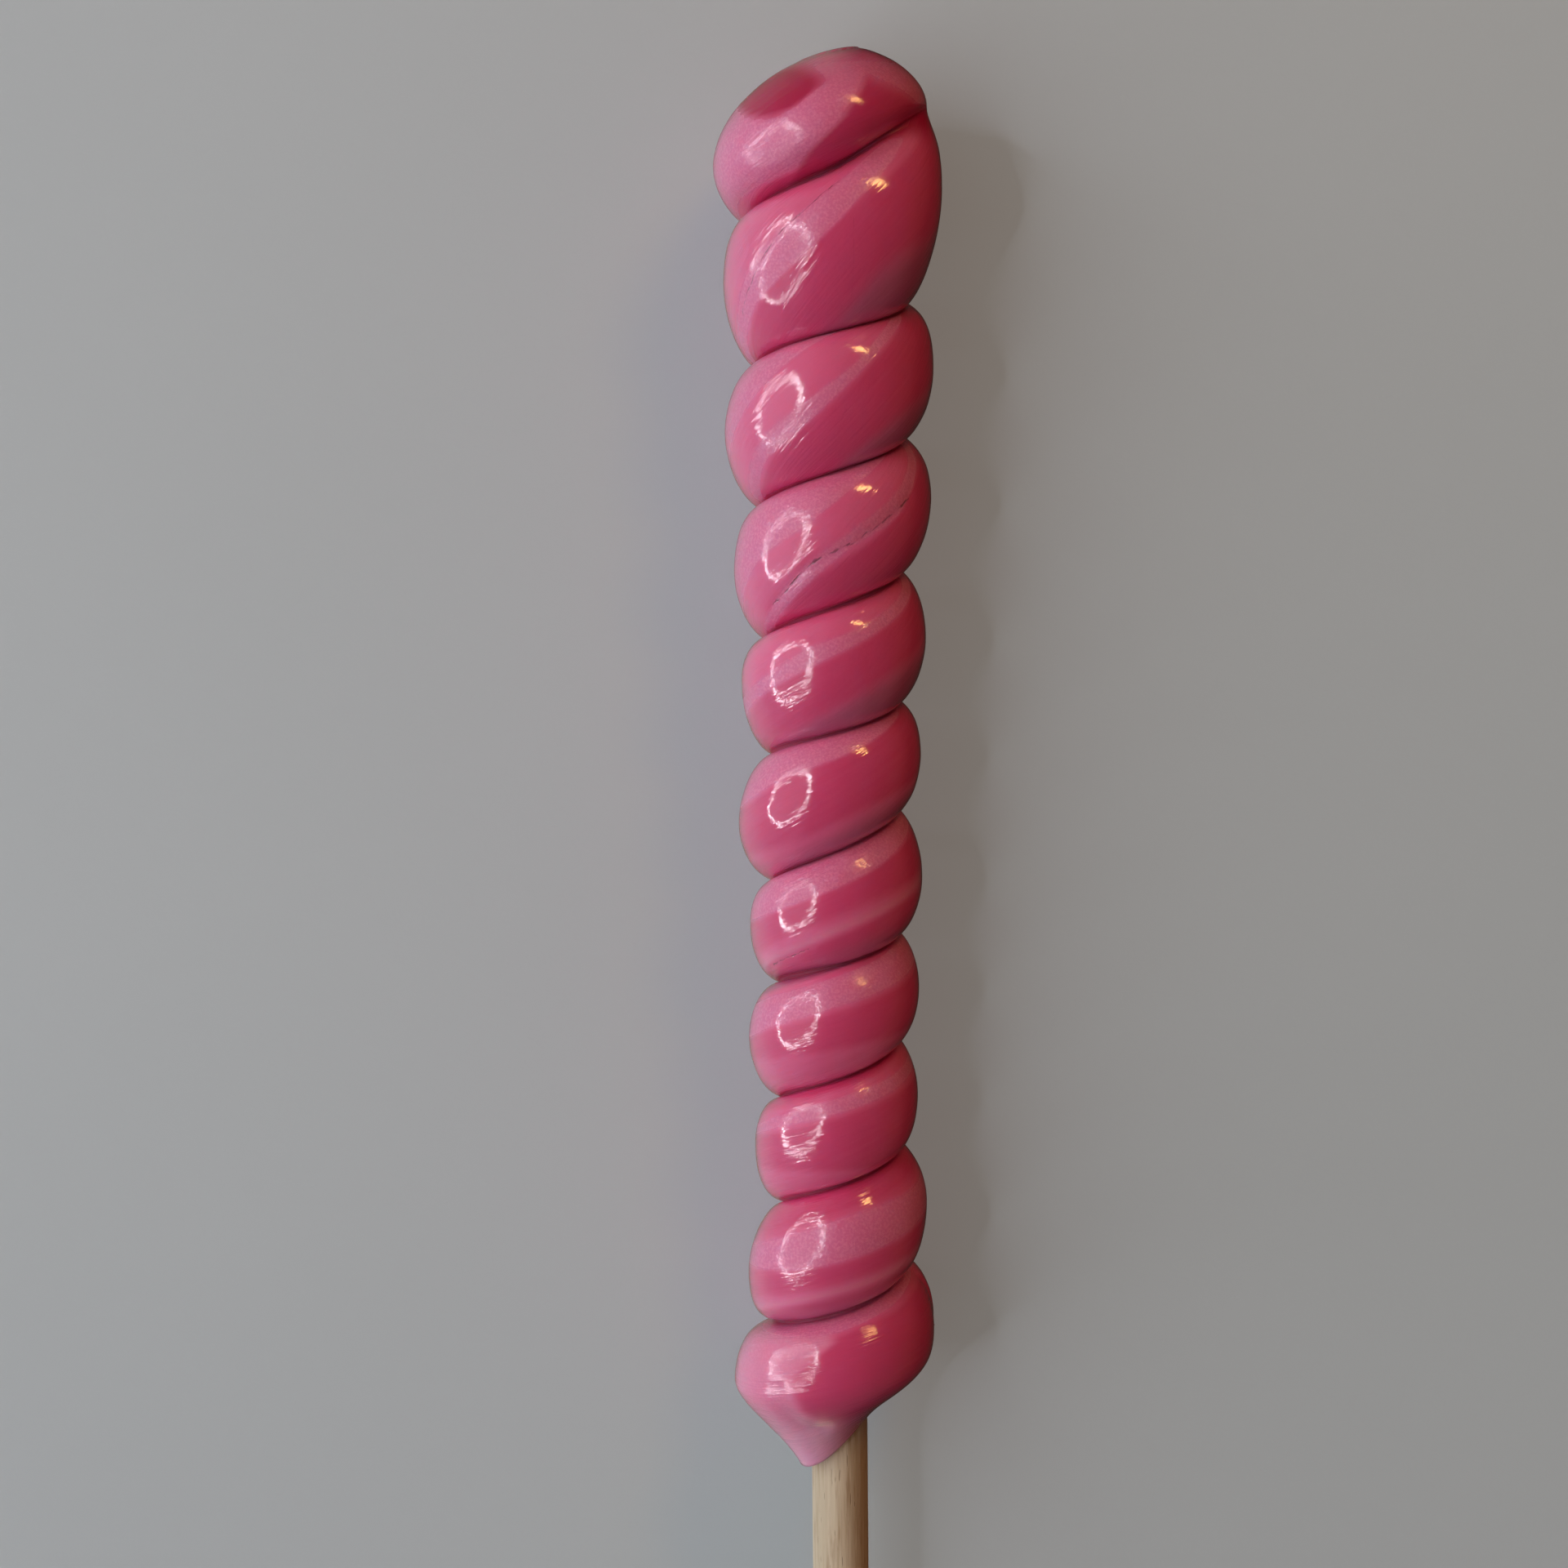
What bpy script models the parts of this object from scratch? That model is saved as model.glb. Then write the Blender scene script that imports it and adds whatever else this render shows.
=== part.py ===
"""A twist lollipop: one thick rope of pulled candy wound round a wooden stick, lying on its side.

Units are metres and Z is up. The lollipop lies on the floor, which is Z = 0, along Y: the candy's
rounded top points to +Y and the bare stick to -Y. The side that faces up is the shown side.

The candy is first shaped round its own axis. There, Y runs along the stick and is 0 at the candy's
lowest point, an angle of 0 is the shown side and 90 degrees is its right-hand side. A place along
the rope is counted in turns of the winding: at a whole turn the rope passes the left-hand side, and
half a turn later the right-hand side, a little higher up.
"""

import math

import bmesh
import bpy
import numpy as np
from mathutils import Matrix, Vector

MM = 0.001

# The wooden stick
STICK_DIAMETER = 6.0 * MM
STICK_LENGTH = 250.0 * MM
STICK_IN_CANDY = 136.0 * MM
STICK_END_ROUNDING = 0.5 * MM
STICK_END_STEPS = 3
STICK_SIDES = 32

# The candy as a whole
CANDY_LENGTH = 150.0 * MM
GAP_ROUND_STICK = 0.3 * MM

# The winding. Each row is a place along the rope: the turn, the height in mm of the groove below
# the rope there, how far in mm the rope stands out from the axis, and where it stands out the most,
# as a share of the way from the groove below to the groove above.
WINDING = (
    (0.5, 15.6, 10.4, 0.50),
    (1.0, 16.4, 9.8, 0.42),
    (1.5, 22.3, 9.6, 0.53),
    (2.0, 29.3, 8.8, 0.53),
    (2.5, 35.3, 8.8, 0.50),
    (3.0, 40.7, 9.4, 0.52),
    (3.5, 46.7, 8.9, 0.49),
    (4.0, 53.1, 9.1, 0.55),
    (4.5, 58.2, 9.4, 0.47),
    (5.0, 63.9, 10.2, 0.45),
    (5.5, 71.3, 9.3, 0.56),
    (6.0, 77.3, 9.7, 0.60),
    (6.5, 82.6, 9.9, 0.50),
    (7.0, 89.4, 10.4, 0.52),
    (7.5, 96.2, 10.5, 0.56),
    (8.0, 103.1, 11.1, 0.52),
    (8.5, 110.0, 10.8, 0.54),
    (9.0, 117.6, 11.1, 0.56),
    (9.5, 123.7, 12.75, 0.62),
    (10.0, 132.7, 11.9, 0.50),
    (10.25, 136.7, 12.1, 0.50),
    (10.5, 143.8, 10.35, 0.50),
)
GROOVE_DEPTH_SHARE = 0.37
GROOVE_OPENS_OVER = 0.5
GROOVE_CLOSES = (10.28, 10.48)
CLOSING_STEEPNESS = 4

# The lower end of the rope: a belly that narrows to a lip round the stick, with one drawn-out tongue.
# The shape between belly and lip is given for the left-hand and for the right-hand side.
BELLY_HEIGHT = 12.8 * MM
BELLY_TILT = 2.8 * MM
BELLY_LEFT_RADIUS = 11.3 * MM
BELLY_FULLNESS = (0.22, 0.61)
FUNNEL_WIDTH = (0.32, 0.47)
FUNNEL_HEIGHT = (0.43, 0.40)
LIP_THICKNESS = 0.4 * MM
LIP_RISE = 5.3 * MM
TONGUE_TIP_HEIGHT = 0.9 * MM
TONGUE_THICKNESS = 1.2 * MM
TONGUE_ANGLE = math.radians(-62)
TONGUE_SHARPNESS = 2.1

# The upper end of the rope: a rounded head folded over the end of the stick
HEAD_HEIGHT = 140.9 * MM
HEAD_TILT = 3.0 * MM
HEAD_PEAK_RIGHT = 3.0 * MM
HEAD_POINTEDNESS = 1.35

# How it lies: pressed a little flat where it rests
SETTLING = 0.45 * MM
LEAN_ROUNDS = 4

# Fineness of the candy's mesh
COLUMNS_PER_TURN = 32
ROWS_ACROSS_ROPE = 10
ROWS_ON_HEAD = 6
ROWS_ON_BELLY = 8
WELD_DISTANCE = 0.001 * MM

FIRST_TURN = -0.5
LAST_TURN = 10.75

# Below these, two turns count as the same, and a cross-section has no span along the axis
SAME_TURN = 1e-9
NO_SPAN = 1e-6

CANDY_PINK = (0.72, 0.10, 0.27, 1.0)
CANDY_ROUGHNESS = 0.15
BIRCH = (0.62, 0.48, 0.30, 1.0)
BIRCH_ROUGHNESS = 0.6
SHARP_ANGLE = math.radians(60)


def remove_everything():
    for obj in list(bpy.data.objects):
        bpy.data.objects.remove(obj)


def new_collection(name):
    collection = bpy.data.collections.new(name)
    bpy.context.scene.collection.children.link(collection)
    return collection


def make_material(name, colour, roughness):
    material = bpy.data.materials.new(name)
    material.use_nodes = True
    shader = material.node_tree.nodes["Principled BSDF"]
    shader.inputs["Base Color"].default_value = colour
    shader.inputs["Roughness"].default_value = roughness
    shader.inputs["Metallic"].default_value = 0.0
    return material


def angle_at(turn):
    """The angle round the axis that the rope has reached at this turn."""
    return 2 * math.pi * turn - math.pi / 2


def smooth_step(x):
    x = np.clip(x, 0.0, 1.0)
    return x * x * (3 - 2 * x)


def smooth_curve(x, xs, ys):
    """A curve through the points xs, ys, smooth at each of them (a cubic Hermite spline)."""
    slopes = np.gradient(ys, xs)
    k = np.clip(np.searchsorted(xs, x) - 1, 0, len(xs) - 2)
    span = xs[k + 1] - xs[k]
    s = np.clip((x - xs[k]) / span, 0.0, 1.0)
    start = (1 + 2 * s) * (1 - s) ** 2 * ys[k] + s * (1 - s) ** 2 * span * slopes[k]
    end = s * s * (3 - 2 * s) * ys[k + 1] + s * s * (s - 1) * span * slopes[k + 1]
    return start + end


def belly_height(turn):
    """The closed line round the lowest turn where it is widest."""
    return BELLY_HEIGHT + BELLY_TILT * np.sin(angle_at(turn))


def head_height(turn):
    """The closed line round the head where it is widest."""
    return HEAD_HEIGHT + HEAD_TILT * np.sin(angle_at(turn))


def groove_height(turn):
    """The height of the groove below the rope."""
    turns, heights, _, _ = np.array(WINDING).T
    turns = np.append(turns, LAST_TURN)
    heights = np.append(heights * MM, head_height(LAST_TURN))
    heights[0] = belly_height(turns[0])
    height = smooth_curve(turn, turns, heights)
    last_row = turns[-2]
    return np.where(turn > last_row, np.minimum(height, head_height(turn)), height)


def rope_radius(turn):
    """How far the middle of the rope stands out from the axis."""
    turns, _, radii, _ = np.array(WINDING).T
    radii = radii * MM
    back_of_head = smooth_curve(LAST_TURN - 1, turns, radii)
    turns = np.concatenate(([FIRST_TURN, 0.0], turns, [LAST_TURN]))
    radii = np.concatenate(([radii[0], BELLY_LEFT_RADIUS], radii, [back_of_head]))
    return smooth_curve(turn, turns, radii)


def bulge_share(turn):
    """Where the rope stands out the most, as a share of the way from groove to groove."""
    turns, _, _, shares = np.array(WINDING).T
    return np.interp(turn, turns, shares)


def side_value(angle, left_and_right):
    """A value that changes evenly from the left-hand to the right-hand side."""
    left, right = left_and_right
    return left + (right - left) * (1 + np.sin(angle)) / 2


def groove_closing(turn):
    """0 along the rope, rising to 1 where the groove runs out on the head."""
    full, shut = GROOVE_CLOSES
    return smooth_step((turn - full) / (shut - full))


def groove_openness(turn):
    """0 where there is no groove, at the rope's two ends, and 1 where it is at full depth."""
    opens = smooth_step((turn - (FIRST_TURN + 1)) / GROOVE_OPENS_OVER)
    return np.sqrt(opens) * (1 - groove_closing(turn))


def rope_skin(columns_per_turn, rows_across):
    """The outer skin of the rope as a grid of points, from the groove below it to the one above.

    Neighbouring turns meet in one shared groove, half-way between how far each of them stands out.
    Where the groove runs out on the head, the lower turn comes in to meet the upper one. The first
    turn starts, and the last one ends, as a wedge of no width, and both lie against the closed lines
    round the belly and the head.
    """
    steps = round((LAST_TURN - FIRST_TURN) * columns_per_turn)
    turn = np.linspace(FIRST_TURN, LAST_TURN, steps + 1)[:, None]
    on_belly = turn <= FIRST_TURN + 1 + SAME_TURN
    on_head = turn >= LAST_TURN - 1 - SAME_TURN

    open_below = np.where(on_belly, 0.0, groove_openness(turn))
    open_above = np.where(on_head, 0.0, groove_openness(turn + 1))
    below = np.where(on_belly, belly_height(turn), groove_height(turn))
    above = np.where(on_head, head_height(turn), groove_height(turn + 1))

    start = np.arcsin(1 - open_below)
    end = math.pi - np.arcsin(1 - open_above)
    share = np.linspace(0.0, 1.0, rows_across + 1)[None, :]
    section_angle = start + (end - start) * share
    span = np.cos(start) - np.cos(end)
    round_rise = (np.cos(start) - np.cos(section_angle)) / np.maximum(span, NO_SPAN)
    rise = np.where(span > NO_SPAN, round_rise, share)
    rise = rise + (bulge_share(turn) - 0.5) * 4 * rise * (1 - rise)
    height = below + (above - below) * rise

    radius = rope_radius(turn)
    meet_below = np.where(on_belly, 0.0, (rope_radius(turn - 1) - radius) / 2)
    meet_above = np.where(on_head, 0.0, (rope_radius(turn + 1) - radius) / 2)
    near_below = smooth_step(1 - 2 * share) * (1 - groove_closing(turn))
    near_above = smooth_step(2 * share - 1)
    near_above = near_above + groove_closing(turn + 1) * near_above**CLOSING_STEEPNESS
    outline = radius + meet_below * near_below + meet_above * near_above
    depth = GROOVE_DEPTH_SHARE * outline
    from_axis = outline - depth * (1 - np.sin(section_angle))
    return ring_points(angle_at(turn), from_axis, height)


def ring_points(angle, from_axis, height, centre_x=0.0):
    """Points round the axis: angle 0 is +Z and 90 degrees is +X."""
    x = centre_x + from_axis * np.sin(angle)
    z = from_axis * np.cos(angle)
    return np.stack(np.broadcast_arrays(x, height, z), axis=-1)


def head_skin(columns_per_turn, rows):
    """The dome over the end of the stick, from the head's widest line to its peak."""
    turn = np.linspace(LAST_TURN - 1, LAST_TURN, columns_per_turn + 1)[:, None]
    rise = np.linspace(0.0, math.pi / 2, rows + 1)[None, :]
    height = head_height(turn) + (CANDY_LENGTH - head_height(turn)) * np.sin(rise)
    from_axis = rope_radius(turn) * np.cos(rise) ** HEAD_POINTEDNESS
    return ring_points(angle_at(turn), from_axis, height, HEAD_PEAK_RIGHT * (1 - np.cos(rise)))


def tongue_share(angle):
    """1 in the middle of the tongue at the lower lip, falling to 0 round the far side."""
    return ((1 + np.cos(angle - TONGUE_ANGLE)) / 2) ** TONGUE_SHARPNESS


def belly_skin(columns_per_turn, rows):
    """From the belly's widest line down to the lip, then up the bore round the stick."""
    turn = np.linspace(FIRST_TURN, FIRST_TURN + 1, columns_per_turn + 1)[:, None]
    angle = angle_at(turn)
    share = np.linspace(0.0, 1.0, rows + 1)[None, :]

    wide = rope_radius(turn)
    top = belly_height(turn)
    tongue = tongue_share(angle)
    narrow = STICK_DIAMETER / 2 + LIP_THICKNESS + TONGUE_THICKNESS * tongue
    bottom = TONGUE_TIP_HEIGHT + LIP_RISE * (1 - tongue)
    drop = top - bottom
    funnel = narrow + (wide - narrow) * side_value(angle, FUNNEL_WIDTH)
    funnel_height = bottom + drop * side_value(angle, FUNNEL_HEIGHT)
    belly = top - drop * side_value(angle, BELLY_FULLNESS)
    from_axis = bezier((wide, wide, funnel, narrow), share)
    height = bezier((top, belly, funnel_height, bottom), share)

    bore = STICK_DIAMETER / 2 + GAP_ROUND_STICK
    bore_top = STICK_IN_CANDY + GAP_ROUND_STICK
    inner_rings = ((bore, bottom + LIP_THICKNESS), (bore, bore_top), (0.0, bore_top))
    for radius, level in inner_rings:
        from_axis = np.hstack([from_axis, np.full_like(bottom, radius)])
        height = np.hstack([height, np.broadcast_to(level, bottom.shape)])
    return ring_points(angle, from_axis, height)


def bezier(controls, share):
    a, b, c, d = controls
    rest = 1 - share
    return a * rest**3 + 3 * b * rest**2 * share + 3 * c * rest * share**2 + d * share**3


def add_grid(bm, points):
    """Adds a grid of points, shaped (columns, rows, 3), and the faces between them."""
    columns, rows, _ = points.shape
    verts = [[bm.verts.new(point) for point in column] for column in points]
    for i in range(columns - 1):
        for j in range(rows - 1):
            bm.faces.new((verts[i][j], verts[i + 1][j], verts[i + 1][j + 1], verts[i][j + 1]))


def make_candy(collection):
    bm = bmesh.new()
    add_grid(bm, rope_skin(COLUMNS_PER_TURN, ROWS_ACROSS_ROPE))
    add_grid(bm, head_skin(COLUMNS_PER_TURN, ROWS_ON_HEAD))
    add_grid(bm, belly_skin(COLUMNS_PER_TURN, ROWS_ON_BELLY))
    bmesh.ops.remove_doubles(bm, verts=bm.verts, dist=WELD_DISTANCE)
    bmesh.ops.recalc_face_normals(bm, faces=bm.faces)
    mesh = bpy.data.meshes.new("candy")
    bm.to_mesh(mesh)
    bm.free()
    candy = bpy.data.objects.new("candy", mesh)
    collection.objects.link(candy)
    return candy


def make_stick(collection):
    middle = STICK_IN_CANDY - STICK_LENGTH / 2
    bpy.ops.mesh.primitive_cylinder_add(
        vertices=STICK_SIDES,
        radius=STICK_DIAMETER / 2,
        depth=STICK_LENGTH,
        location=(0, middle, 0),
        rotation=(math.radians(-90), 0, 0),
    )
    stick = bpy.context.object
    stick.name = "stick"
    stick.data.name = "stick"
    bevel = stick.modifiers.new("rounded ends", "BEVEL")
    bevel.width = STICK_END_ROUNDING
    bevel.segments = STICK_END_STEPS
    bevel.limit_method = "ANGLE"
    for other in list(stick.users_collection):
        other.objects.unlink(stick)
    collection.objects.link(stick)
    return stick


def lay_down(candy, holder):
    """Turns the holder so that the candy rests on its back on two turns, near its two ends."""
    points = np.empty(len(candy.data.vertices) * 3)
    candy.data.vertices.foreach_get("co", points)
    points = points.reshape(-1, 3)
    lower = points[points[:, 1] < CANDY_LENGTH / 2]
    upper = points[points[:, 1] >= CANDY_LENGTH / 2]
    lean = 0.0
    for _ in range(LEAN_ROUNDS):
        turned_lower = lower @ np.array(Matrix.Rotation(lean, 3, "X")).T
        turned_upper = upper @ np.array(Matrix.Rotation(lean, 3, "X")).T
        low = turned_lower[turned_lower[:, 2].argmin()]
        high = turned_upper[turned_upper[:, 2].argmin()]
        lean -= math.atan2(high[2] - low[2], high[1] - low[1])
    turned = points @ np.array(Matrix.Rotation(lean, 3, "X")).T
    holder.rotation_euler = (lean, 0, 0)
    holder.location = (0, 0, -turned[:, 2].min() - SETTLING)


def flatten_underside(candy, helpers):
    """Cuts the small flats on which the candy rests."""
    side = 2 * CANDY_LENGTH
    bpy.ops.mesh.primitive_cube_add(size=side, location=(0, 0, -side / 2))
    floor = bpy.context.object
    floor.name = "floor_cutter"
    floor.display_type = "WIRE"
    floor.hide_render = True
    for other in list(floor.users_collection):
        other.objects.unlink(floor)
    helpers.objects.link(floor)
    cut = candy.modifiers.new("flat underside", "BOOLEAN")
    cut.operation = "DIFFERENCE"
    cut.solver = "EXACT"
    cut.object = floor


def centre_on_origin(holder, objects):
    """Moves the holder so that the object's box is centred on the origin, seen from above."""
    bpy.context.view_layer.update()
    graph = bpy.context.evaluated_depsgraph_get()
    corners = []
    for obj in objects:
        evaluated = obj.evaluated_get(graph)
        corners += [evaluated.matrix_world @ v.co for v in evaluated.data.vertices]
    corners = np.array(corners)
    middle = (corners.min(axis=0) + corners.max(axis=0)) / 2
    holder.location -= Vector((middle[0], middle[1], 0))


def shade(obj, material):
    obj.data.materials.append(material)
    obj.data.shade_smooth()
    obj.data.set_sharp_from_angle(angle=SHARP_ANGLE)


def build():
    remove_everything()
    parts = new_collection("twist_lollipop")
    helpers = new_collection("helpers")
    holder = bpy.data.objects.new("lollipop_axis", None)
    parts.objects.link(holder)
    candy = make_candy(parts)
    stick = make_stick(parts)
    candy.parent = holder
    stick.parent = holder
    lay_down(candy, holder)
    bpy.context.view_layer.update()
    flatten_underside(candy, helpers)
    centre_on_origin(holder, (candy, stick))
    shade(candy, make_material("pulled_candy", CANDY_PINK, CANDY_ROUGHNESS))
    shade(stick, make_material("birch", BIRCH, BIRCH_ROUGHNESS))


build()
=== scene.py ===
"""The looks of a twist lollipop: pulled pink candy wound round a birch stick, lying on a pale floor.

Units are metres and Z is up. The candy is shaped round its own axis and then laid beside the packed
stick. Round that axis, Y runs along the stick and is 0 at the candy's lowest point, an angle of 0 is
the shown side and 90 degrees is its right-hand side.

A place on the candy is a turn and a share across. The turn counts the winding: at a whole turn the
rope passes the left-hand side, and half a turn later the right-hand side. The share across runs from
0 in the groove below the rope to 1 in the groove above it. From 0 down to -1 it runs over the belly
to the lower lip, and from 1 up to 2 over the head to its peak.
"""

import math

import bmesh
import bpy
import numpy as np
from mathutils import Matrix, Vector, noise


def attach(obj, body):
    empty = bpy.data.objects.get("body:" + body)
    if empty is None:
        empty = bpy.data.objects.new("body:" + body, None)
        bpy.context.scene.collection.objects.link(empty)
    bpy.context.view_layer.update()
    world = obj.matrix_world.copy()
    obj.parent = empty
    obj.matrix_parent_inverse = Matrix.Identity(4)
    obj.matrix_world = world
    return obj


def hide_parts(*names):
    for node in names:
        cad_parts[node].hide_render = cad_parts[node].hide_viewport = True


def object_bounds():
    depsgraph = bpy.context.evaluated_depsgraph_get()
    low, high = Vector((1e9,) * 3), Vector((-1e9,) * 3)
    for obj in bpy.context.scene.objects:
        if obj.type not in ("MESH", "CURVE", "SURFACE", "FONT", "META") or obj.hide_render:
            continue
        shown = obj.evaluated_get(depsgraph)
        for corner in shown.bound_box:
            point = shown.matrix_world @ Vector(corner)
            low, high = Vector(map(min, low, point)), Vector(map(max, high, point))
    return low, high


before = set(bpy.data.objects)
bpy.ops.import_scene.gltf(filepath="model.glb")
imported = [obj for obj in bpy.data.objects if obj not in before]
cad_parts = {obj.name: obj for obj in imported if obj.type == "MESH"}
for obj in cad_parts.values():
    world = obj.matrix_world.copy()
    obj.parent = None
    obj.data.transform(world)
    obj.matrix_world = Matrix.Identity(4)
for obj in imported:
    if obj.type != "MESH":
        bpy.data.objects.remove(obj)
CAD_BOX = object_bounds()

MM = 0.001

# The stick and how the candy sits on it
STICK_DIAMETER = 6.0 * MM
STICK_IN_CANDY = 136.0 * MM
STICK_END_DEPTH = 1.0 * MM
BORE_INSIDE_STICK = 0.05 * MM
BORE_END_GAP = 0.3 * MM

# The winding. Each row is a place along the rope: the turn, the height in mm of the groove below
# the rope there, how far in mm the rope stands out from the axis, and where it stands out the most,
# as a share of the way from the groove below to the groove above.
WINDING = (
    (0.5, 15.6, 10.4, 0.50),
    (1.0, 16.4, 9.8, 0.42),
    (1.5, 22.3, 9.6, 0.53),
    (2.0, 29.3, 8.8, 0.53),
    (2.5, 35.3, 8.8, 0.50),
    (3.0, 40.7, 9.4, 0.52),
    (3.5, 46.7, 8.9, 0.49),
    (4.0, 53.1, 9.1, 0.55),
    (4.5, 58.2, 9.4, 0.47),
    (5.0, 63.9, 10.2, 0.45),
    (5.5, 71.3, 9.3, 0.56),
    (6.0, 77.3, 9.7, 0.60),
    (6.5, 82.6, 9.9, 0.50),
    (7.0, 89.4, 10.4, 0.52),
    (7.5, 96.2, 10.5, 0.56),
    (8.0, 103.1, 11.1, 0.52),
    (8.5, 110.0, 10.8, 0.54),
    (9.0, 117.6, 11.1, 0.56),
    (9.5, 123.7, 12.75, 0.62),
    (10.0, 132.7, 11.9, 0.50),
    (10.25, 136.7, 12.1, 0.50),
    (10.5, 143.8, 10.35, 0.50),
)
GROOVE_DEPTH_SHARE = 0.37
GROOVE_OPENS_OVER = 0.5
GROOVE_CLOSES = (10.28, 10.48)
CLOSING_STEEPNESS = 4
FIRST_TURN = -0.5
LAST_TURN = 10.75

# The lower end: belly, lip and tongue. Pairs are for the left-hand and for the right-hand side.
BELLY_HEIGHT = 12.8 * MM
BELLY_TILT = 2.8 * MM
BELLY_LEFT_RADIUS = 11.3 * MM
BELLY_FULLNESS = (0.22, 0.61)
FUNNEL_WIDTH = (0.32, 0.47)
FUNNEL_HEIGHT = (0.43, 0.40)
LIP_THICKNESS = 0.4 * MM
LIP_RISE = 5.3 * MM
TONGUE_TIP_HEIGHT = 0.9 * MM
TONGUE_THICKNESS = 1.2 * MM
TONGUE_ANGLE = math.radians(-62)
TONGUE_SHARPNESS = 2.1

# The upper end: a rounded head
CANDY_LENGTH = 150.0 * MM
HEAD_HEIGHT = 140.9 * MM
HEAD_TILT = 3.0 * MM
HEAD_PEAK_RIGHT = 3.0 * MM
HEAD_POINTEDNESS = 1.35

# Fineness of the candy's mesh
COLUMNS_PER_TURN = 144
ROWS_ACROSS_ROPE = 46
ROWS_ON_HEAD = 28
ROWS_ON_BELLY = 36
WELD_DISTANCE = 0.001 * MM

# Below these, two turns count as the same, and a cross-section has no span along the axis
SAME_TURN = 1e-9
NO_SPAN = 1e-6

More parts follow.
